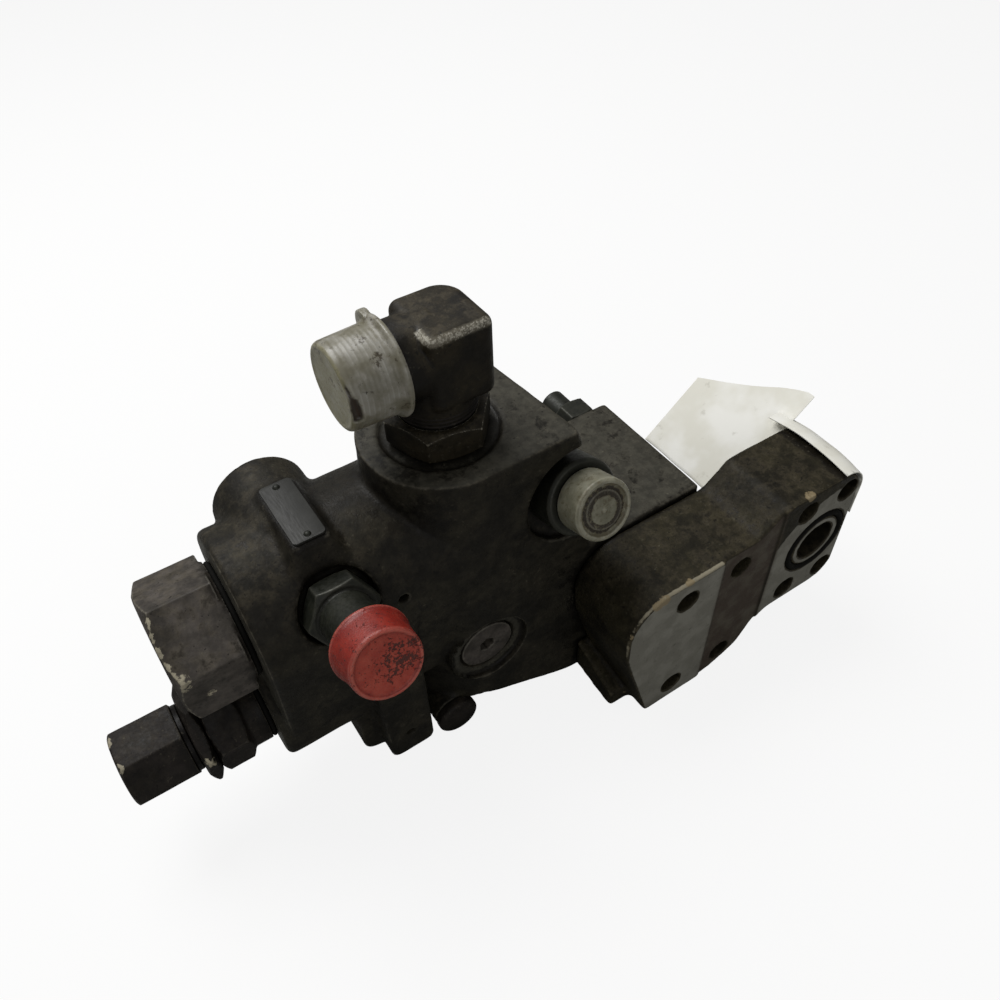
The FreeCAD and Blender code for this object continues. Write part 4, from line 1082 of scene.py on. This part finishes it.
class VALVE_OT_end_fittings(bpy.types.Operator):
    """Spring cap, relief cartridge, lock nut and adjuster on the left end"""

    bl_idname = "valve.end_fittings"
    bl_label = "Left end fittings"

    def execute(self, context):
        look = context.scene.valve_look
        dents = look.steel_dents
        bore = [rod(13.4, (-104, 0, SPOOL_Z), (-64, 0, SPOOL_Z))]
        around = ("valve_body", "relief_body")
        cap = worn_piece(
            "spring_cap", "spring_cap_worn", "housing", "steel", "steel", bore, 0.45, 1, dents, near=around
        )

        # The left chamfer is painted lighter all round: partly rubbed edge, partly painted light on faces
        # turned up and to the left
        def chamfer(x, y, z, normal):
            return (x < -106.2) * (normal[:, 0] < -0.15) * (normal[:, 0] > -0.85) * 0.9

        mark_where(cap, "rim", chamfer)
        bore = [rod(8.4, (-100, 0, RELIEF_Z), (-52, 0, RELIEF_Z))]
        around = ("valve_body", "spring_cap", "relief_lock_nut")
        worn_piece(
            "relief_body", "relief_body_worn", "housing", "shaded_sooty", "steel", bore, 0.45, 1, dents, near=around
        )
        around = ("relief_body", "relief_adjuster")
        worn_piece(
            "relief_lock_nut", "relief_lock_nut_worn", "jam_nut", "shaded_sooty", "steel", (), 0.3, 1, near=around
        )
        around = ("relief_lock_nut",)
        worn_piece(
            "relief_adjuster",
            "relief_adjuster_worn",
            "adjuster",
            "shaded_sooty",
            "steel",
            grain=0.4,
            rounds=1,
            bumps=dents,
            near=around,
        )
        profile = [(6.2, 0.0), (12.5, 0.0), (12.9, 0.4), (12.9, 1.8), (12.5, 2.2), (6.2, 2.2)]
        collar = turned("adjuster_collar", profile, (-115.6, 0, RELIEF_Z), (-113.0, 0, RELIEF_Z), 96)
        # The whole collar is darkened with the gap colour: painted shade for the dark band between the
        # adjuster and the nut
        write_attribute(collar, "grime", np.ones(len(collar.data.vertices)))
        smooth(collar, 30)
        finish_piece(collar, "adjuster", material("shaded_sooty"), "steel")
        return {"FINISHED"}


class VALVE_OT_elbow(bpy.types.Operator):
    """Forged elbow on the top port and its lock nut"""

    bl_idname = "valve.elbow"
    bl_label = "Elbow"

    def execute(self, context):
        look = context.scene.valve_look
        around = ("elbow_cap", "elbow_lock_nut")
        elbow = worn_piece(
            "elbow_body",
            "elbow_body_forged",
            "elbow",
            "forged",
            "steel",
            grain=0.5,
            rounds=2,
            bumps=look.steel_dents,
            most=110000,
            near=around,
        )

        def top_edge(x, y, z, normal):
            # The painted highlight follows the front edge and the front end of the left one
            front = np.exp(-(((y + 12.4) / 2.5) ** 2) - ((z - 184.5) / 2.6) ** 2)
            left = np.exp(-(((x + 6.6) / 2.2) ** 2) - ((z - 184.7) / 2.4) ** 2) * (y < -5.0)
            return np.maximum(front, left)

        mark_where(elbow, "rim", top_edge)
        nut = worn_piece("elbow_lock_nut", "elbow_lock_nut_worn", "elbow_nut", "forged", "steel", (), 0.35, 1)
        # A painted highlight line along the nut's upper outer edges
        wear = np.empty(len(nut.data.vertices), np.float32)
        nut.data.attributes["wear"].data.foreach_get("value", wear)
        mark_where(nut, "rim", lambda x, y, z, normal: np.minimum(wear * 1.6, 1.0) * (z > 147.5))
        root, crest, pitch = 13.0, 13.6, 1.5
        profile = [(root - 1.0, 0.0)]
        for turn in range(3):
            foot = pitch * turn
            profile += [(root, foot + 0.15), (crest, pitch * (turn + 0.5)), (root, pitch * (turn + 1))]
        profile += [(root, 5.2), (root - 1.0, 5.4)]
        thread = turned("elbow_thread", profile, (0, 0, 151.3), (0, 0, 152), 96)
        smooth(thread, 30)
        finish_piece(thread, "elbow", material("shaded_sooty"), "steel")
        return {"FINISHED"}


class VALVE_OT_port_fittings(bpy.types.Operator):
    """Pilot adapters, flush check plug and core plug"""

    bl_idname = "valve.port_fittings"
    bl_label = "Port fittings"

    def execute(self, context):
        worn_piece("drain_adapter", "drain_adapter_worn", "housing", "zinc", "zinc_steel", (), 0.4, 2)
        worn_piece("pilot_adapter", "pilot_adapter_worn", "housing", "zinc", "zinc_steel", (), 0.4, 2)
        worn_piece("check_plug", "check_plug_worn", "housing", "steel", "steel", (), 0.35, 1)
        worn_piece("core_plug", "core_plug_worn", "housing", "shaded_sooty", "steel", (), 0.4, 2)
        return {"FINISHED"}


class VALVE_OT_caps(bpy.types.Operator):
    """Red, milky and cloudy shipping caps"""

    bl_idname = "valve.caps"
    bl_label = "Shipping caps"

    def execute(self, context):
        # Each profile runs from the inner roof to the mouth, over the rim and up to the closed end
        inner, rim, wall, lip = 9.25, 13.0, 12.3, 11.5
        profile = [(inner, 11.2), (inner, 3.0), (rim - 0.5, 3.0), (rim, 3.4), (rim, 4.2), (rim - 0.4, 4.6)]
        profile += [(wall + 0.3, 4.8), (wall, 5.4), (lip + 0.1, 15.3), (lip - 0.4, 16.0), (lip - 1.1, 16.0)]
        profile += [(lip - 1.5, 15.5), (2.0, 15.4)]
        cap = turned("drain_cap_moulded", profile, port_point(DRAIN_X, 50), port_point(DRAIN_X, 66), 128)
        moulded(cap, "drain_cover", "red", "red_plastic", "drain_cap")
        tilt = math.radians(PORT_TILT)

        def closed_face(x, y, z, normal):
            return normal[:, 2] * math.sin(tilt) - normal[:, 1] * math.cos(tilt) > 0.85

        mark_where(cap, "ring", closed_face)

        inner, wall, lip, disc = 9.5, 11.5, 9.7, 7.3
        profile = [(inner, 9.2), (inner, 0), (wall - 0.4, 0), (wall, 0.4), (wall, 11.2), (wall - 0.9, 12.1)]
        profile += [(lip, 12.1), (lip - 0.3, 11.0), (disc + 0.3, 10.9), (disc, 11.5), (0.9, 11.6)]
        profile += [(0.7, 11.9), (0.1, 12.0)]
        mouth = port_point(PILOT_X, 37.4)
        cap = turned("pilot_cap_moulded", profile, mouth, port_point(PILOT_X, 50), 128)
        moulded(cap, "pilot_cover", "white", "white_plastic", "pilot_cap")
        base = Vector(mouth)
        axis = (Vector(port_point(PILOT_X, 50.0)) - base).normalized()

        def ring(x, y, z, normal):
            offset = np.stack([x - base.x, y - base.y, z - base.z], axis=1)
            height = offset @ np.array(axis)
            radius = np.sqrt(np.maximum((offset**2).sum(axis=1) - height**2, 0.0))
            return (height > 9.5) & (radius > 5.2) & (radius < 8.6)

        mark_where(cap, "ring", ring)

        inner, rim, wall, end = 12.75, 16.4, 14.7, 14.2
        profile = [(inner, 16.7), (inner, 0), (rim - 0.4, 0), (rim, 0.5), (rim, 1.6), (rim - 0.5, 2.0)]
        profile += [(wall + 0.6, 2.2), (wall, 3.0), (end, 17.7), (end - 0.5, 18.9), (end - 1.6, 19.4)]
        profile += [(end - 2.6, 19.0), (2.0, 18.8)]
        cap = turned("elbow_cap_moulded", profile, (-14.6, 0, ELBOW_Z), (-30, 0, ELBOW_Z), 128)
        tab = math.radians(50)
        tab_y, tab_z = 13.5 * math.cos(tab), ELBOW_Z + 13.5 * math.sin(tab)
        cap = join("elbow_cap_moulded", [cap, rod(4.8, (-14.8, tab_y, tab_z), (-17.6, tab_y, tab_z), 48)])
        voxels(cap, 0.4, 2)
        slit = rod(0.8, (-34.4, -9.0, 184.0), (-32.6, -14.2, 176.0), 32)
        slit = join("slit", [slit, rod(1.8, (-32.8, -14.2, 177.0), (-32.0, -14.0, 169.0), 32)])
        cut(cap, [voxels(slit, 0.35, 1)], solver="EXACT")
        moulded(cap, "elbow_cover", "cloudy", "white_plastic", "elbow_cap", 0.4)

        def tear(x, y, z, normal):
            # Skin inside the slit, below the outer wall and the end face
            inside = (x > -33.3) & (np.hypot(y, z - ELBOW_Z) < 13.4)
            return inside & (x < -29.0) & (y < -8.0) & (z > 166.5) & (z < 184.5)

        def closed_end(x, y, z, normal):
            return (x < -33.0) & (normal[:, 0] < -0.5)

        mark_where(cap, "tear", tear)
        mark_where(cap, "ring", closed_end)
        return {"FINISHED"}


class VALVE_OT_fasteners(bpy.types.Operator):
    """Nuts behind the slab, and the name plate"""

    bl_idname = "valve.fasteners"
    bl_label = "Fasteners"

    def execute(self, context):
        worn_piece("flange_nuts", "flange_nuts_worn", "housing", "zinc", "zinc_steel", (), 0.45, 2)
        plate = node_copy("name_plate", "name_plate_worn")
        modify(plate, "BEVEL", width=0.15 * MM, segments=2, limit_method="ANGLE")
        smooth(plate, 40)
        finish_piece(plate, "housing", material("aluminium"), "aluminium", "name_plate")
        return {"FINISHED"}


class VALVE_OT_label(bpy.types.Operator):
    """Blank paper strip folded over the port tower, a little bulged"""

    bl_idname = "valve.label"
    bl_label = "Paper strip"

    def execute(self, context):
        look = context.scene.valve_look
        strip = node_copy("paper_label", "paper_strip")
        pick(strip)
        bpy.ops.object.mode_set(mode="EDIT")
        for axis, first, last, count in (("X", 114, 155, 24), ("Y", -64, 17, 34), ("Z", 62, 95, 12)):
            normal = [float(axis == letter) for letter in "XYZ"]
            for index in range(count):
                place = first + (last - first) * index / (count - 1)
                bpy.ops.mesh.select_all(action="SELECT")
                bpy.ops.mesh.bisect(plane_co=at(place, place, place), plane_no=normal)
        bpy.ops.object.mode_set(mode="OBJECT")
        texture = bpy.data.textures.new("paper waves", "CLOUDS")
        texture.noise_scale = 30 * MM
        texture.noise_depth = 1
        for direction in ("X", "Z"):
            modify(
                strip,
                "DISPLACE",
                texture=texture,
                texture_coords="LOCAL",
                direction=direction,
                strength=look.paper_waves * MM,
                mid_level=0.35,
            )
        # The fold over the tower's corner stands off in its middle
        fold = at(150.0, -44.0, 84.0)
        for vertex in strip.data.vertices:
            vertex.select = (vertex.co - fold).length < 6.5 * MM
        pick(strip)
        bpy.context.tool_settings.mesh_select_mode = (True, False, False)
        bpy.ops.object.mode_set(mode="EDIT")
        bpy.ops.transform.translate(
            value=(look.paper_bulge * MM, 0, 0.7 * look.paper_bulge * MM),
            use_proportional_edit=True,
            use_proportional_connected=True,
            proportional_edit_falloff="SMOOTH",
            proportional_size=24 * MM,
        )
        bpy.ops.object.mode_set(mode="OBJECT")
        smooth(strip, 40)
        finish_piece(strip, "housing", material("paper"), "paper", "paper_label")
        # The cut is estimated at 82 mm across the block and 86 mm long, its free end narrowed to a flag
        return {"FINISHED"}


CARRIED = {
    "ground": (
        "main_spool",
        "main_spring",
        "spring_seat",
        "relief_poppet",
        "relief_spring",
        "relief_spring_plate",
        "check_poppet",
        "check_spring",
    ),
    "rubber": ("cap_seal", "relief_seal", "drain_seal", "pilot_seal", "port_o_ring", "joint_o_ring"),
    "zinc": ("flange_studs", "flange_washers", "plate_rivets"),
}


class VALVE_OT_carried(bpy.types.Operator):
    """Materials of the CAD pieces whose shape is already right"""

    bl_idname = "valve.carried"
    bl_label = "Carried pieces"

    def execute(self, context):
        for name, nodes in CARRIED.items():
            for node in nodes:
                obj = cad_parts[node]
                obj.data.materials.clear()
                obj.data.materials.append(material(name))
        return {"FINISHED"}


# Stage


class VALVE_OT_stage(bpy.types.Operator):
    """Pale floor, soft lamps and the camera of the picture"""

    bl_idname = "valve.stage"
    bl_label = "Stage"

    def execute(self, context):
        look = context.scene.valve_look
        scene = context.scene
        scene.view_settings.view_transform = "Standard"

        bpy.ops.object.select_all(action="DESELECT")
        bpy.ops.mesh.primitive_plane_add(size=6.0, location=(0, 0, 0))
        floor = context.view_layer.objects.active
        floor.name = "floor"
        paint = bpy.data.materials.new("studio floor")
        paint.use_nodes = True
        tree = paint.node_tree
        tree.nodes.clear()
        seen = add(tree, "ShaderNodeLightPath")
        tint = blend(tree, seen.outputs["Is Camera Ray"], linear("a4a4a0"), linear("f6f6f4"))
        paper = add(tree, "ShaderNodeBsdfDiffuse", links={"Color": tint})
        glow = add(tree, "ShaderNodeEmission", links={"Color": (1, 1, 1, 1), "Strength": 1.0})
        part = times(tree, seen.outputs["Is Camera Ray"], look.floor_glow)
        mixed = add(tree, "ShaderNodeMixShader", links={0: part, 1: paper.outputs[0], 2: glow.outputs[0]})
        add(tree, "ShaderNodeOutputMaterial", links={"Surface": mixed.outputs[0]})
        floor.data.materials.append(paint)

        world = bpy.data.worlds.new("studio")
        world.use_nodes = True
        tree = world.node_tree
        tree.nodes.clear()
        path = add(tree, "ShaderNodeLightPath")
        shown = times(tree, path.outputs["Is Camera Ray"], path.outputs["Is Transmission Ray"], "MAXIMUM")
        level = step(tree, shown, 0.0, 1.0, look.world_strength, 1.0)
        sky = add(tree, "ShaderNodeBackground", links={"Color": (1, 1, 1, 1), "Strength": level})
        add(tree, "ShaderNodeOutputWorld", links={"Surface": sky.outputs[0]})
        scene.world = world

        for name, place, size, power in (
            ("top softbox", (-0.15, 0.42, 0.9), 0.6, look.top_power),
            ("front softbox", (-0.2, -1.0, 0.5), 0.7, look.front_power),
        ):
            bpy.ops.object.light_add(type="AREA", location=place)
            lamp = context.view_layer.objects.active
            lamp.name = name
            lamp.data.size = size
            lamp.data.energy = power
            aim = Vector((0, 0, 0.06)) - Vector(place)
            lamp.rotation_euler = aim.to_track_quat("-Z", "Y").to_euler()

        bpy.ops.object.camera_add(location=at(*look.camera_place))
        camera = context.view_layer.objects.active
        camera.name = "picture_camera"
        turn = (
            Matrix.Rotation(look.camera_azimuth, 3, "Z")
            @ Matrix.Rotation(math.pi / 2 - look.camera_height, 3, "X")
            @ Matrix.Rotation(look.camera_roll, 3, "Z")
        )
        camera.rotation_euler = turn.to_euler()
        camera.data.sensor_width = 36.0
        camera.data.lens = look.camera_lens
        camera.data.clip_start = 0.01
        scene.camera = camera
        return {"FINISHED"}


# Add-on


class ValveLook(bpy.types.PropertyGroup):
    cast_lumps: FloatProperty(
        name="Cast lumps",
        description="Height of the waves in the cast skin, in millimetres",
        default=0.35,
        min=0.0,
    )
    steel_dents: FloatProperty(
        name="Steel dents",
        description="Height of the dents in worn hexagons, in millimetres",
        default=0.15,
        min=0.0,
    )
    paper_waves: FloatProperty(
        name="Paper waves",
        description="Height of the waves in the paper strip, in millimetres",
        default=1.2,
        min=0.0,
    )
    paper_bulge: FloatProperty(
        name="Paper bulge",
        description="How far the folded paper stands off the corner, in millimetres",
        default=2.2,
        min=0.0,
    )
    floor_glow: FloatProperty(
        name="Floor glow",
        description="Share of the floor's colour that the camera sees as pure white",
        default=0.87,
        min=0.0,
        max=1.0,
    )
    world_strength: FloatProperty(
        name="World light",
        description="Strength of the soft light all round",
        default=0.22,
        min=0.0,
    )
    top_power: FloatProperty(
        name="Top softbox",
        description="Power of the lamp above",
        default=7.5,
        min=0.0,
        unit="POWER",
    )
    front_power: FloatProperty(
        name="Front softbox",
        description="Power of the lamp in front",
        default=1.5,
        min=0.0,
        unit="POWER",
    )
    camera_place: FloatVectorProperty(
        name="Camera place",
        description="Place of the camera on the drawing, in millimetres",
        default=(-97.2, -194.2, 334.9),
    )
    camera_azimuth: FloatProperty(
        name="Camera turn",
        description="Turn of the camera about the vertical",
        default=math.radians(-31.65),
        subtype="ANGLE",
    )
    camera_height: FloatProperty(
        name="Camera height",
        description="Angle at which the camera looks down",
        default=math.radians(46.92),
        subtype="ANGLE",
    )
    camera_roll: FloatProperty(
        name="Camera roll", description="Tilt of the picture", default=math.radians(-2.33), subtype="ANGLE"
    )
    camera_lens: FloatProperty(
        name="Lens",
        description="Focal length on a 36 mm sensor",
        default=31.354,
        unit="CAMERA",
    )


class VALVE_PT_panel(bpy.types.Panel):
    bl_idname = "VALVE_PT_panel"
    bl_label = "Hose rupture valve"
    bl_space_type = "VIEW_3D"
    bl_region_type = "UI"
    bl_category = "Valve"

    def draw(self, context):
        look = context.scene.valve_look
        for name in ValveLook.__annotations__:
            self.layout.prop(look, name)
        for step_class in STEPS:
            self.layout.operator(step_class.bl_idname)


STEPS = (
    VALVE_OT_body,
    VALVE_OT_block,
    VALVE_OT_end_fittings,
    VALVE_OT_elbow,
    VALVE_OT_port_fittings,
    VALVE_OT_caps,
    VALVE_OT_fasteners,
    VALVE_OT_label,
    VALVE_OT_carried,
    VALVE_OT_stage,
)


def register():
    bpy.utils.register_class(ValveLook)
    bpy.types.Scene.valve_look = PointerProperty(type=ValveLook)
    for step_class in STEPS:
        bpy.utils.register_class(step_class)
    bpy.utils.register_class(VALVE_PT_panel)


def unregister():
    bpy.utils.unregister_class(VALVE_PT_panel)
    for step_class in reversed(STEPS):
        bpy.utils.unregister_class(step_class)
    del bpy.types.Scene.valve_look
    bpy.utils.unregister_class(ValveLook)


def main():
    register()
    bpy.ops.valve.body()
    bpy.ops.valve.block()
    bpy.ops.valve.end_fittings()
    bpy.ops.valve.elbow()
    bpy.ops.valve.port_fittings()
    bpy.ops.valve.caps()
    bpy.ops.valve.fasteners()
    bpy.ops.valve.label()
    bpy.ops.valve.carried()
    bpy.ops.valve.stage()


if __name__ == "__main__":
    main()
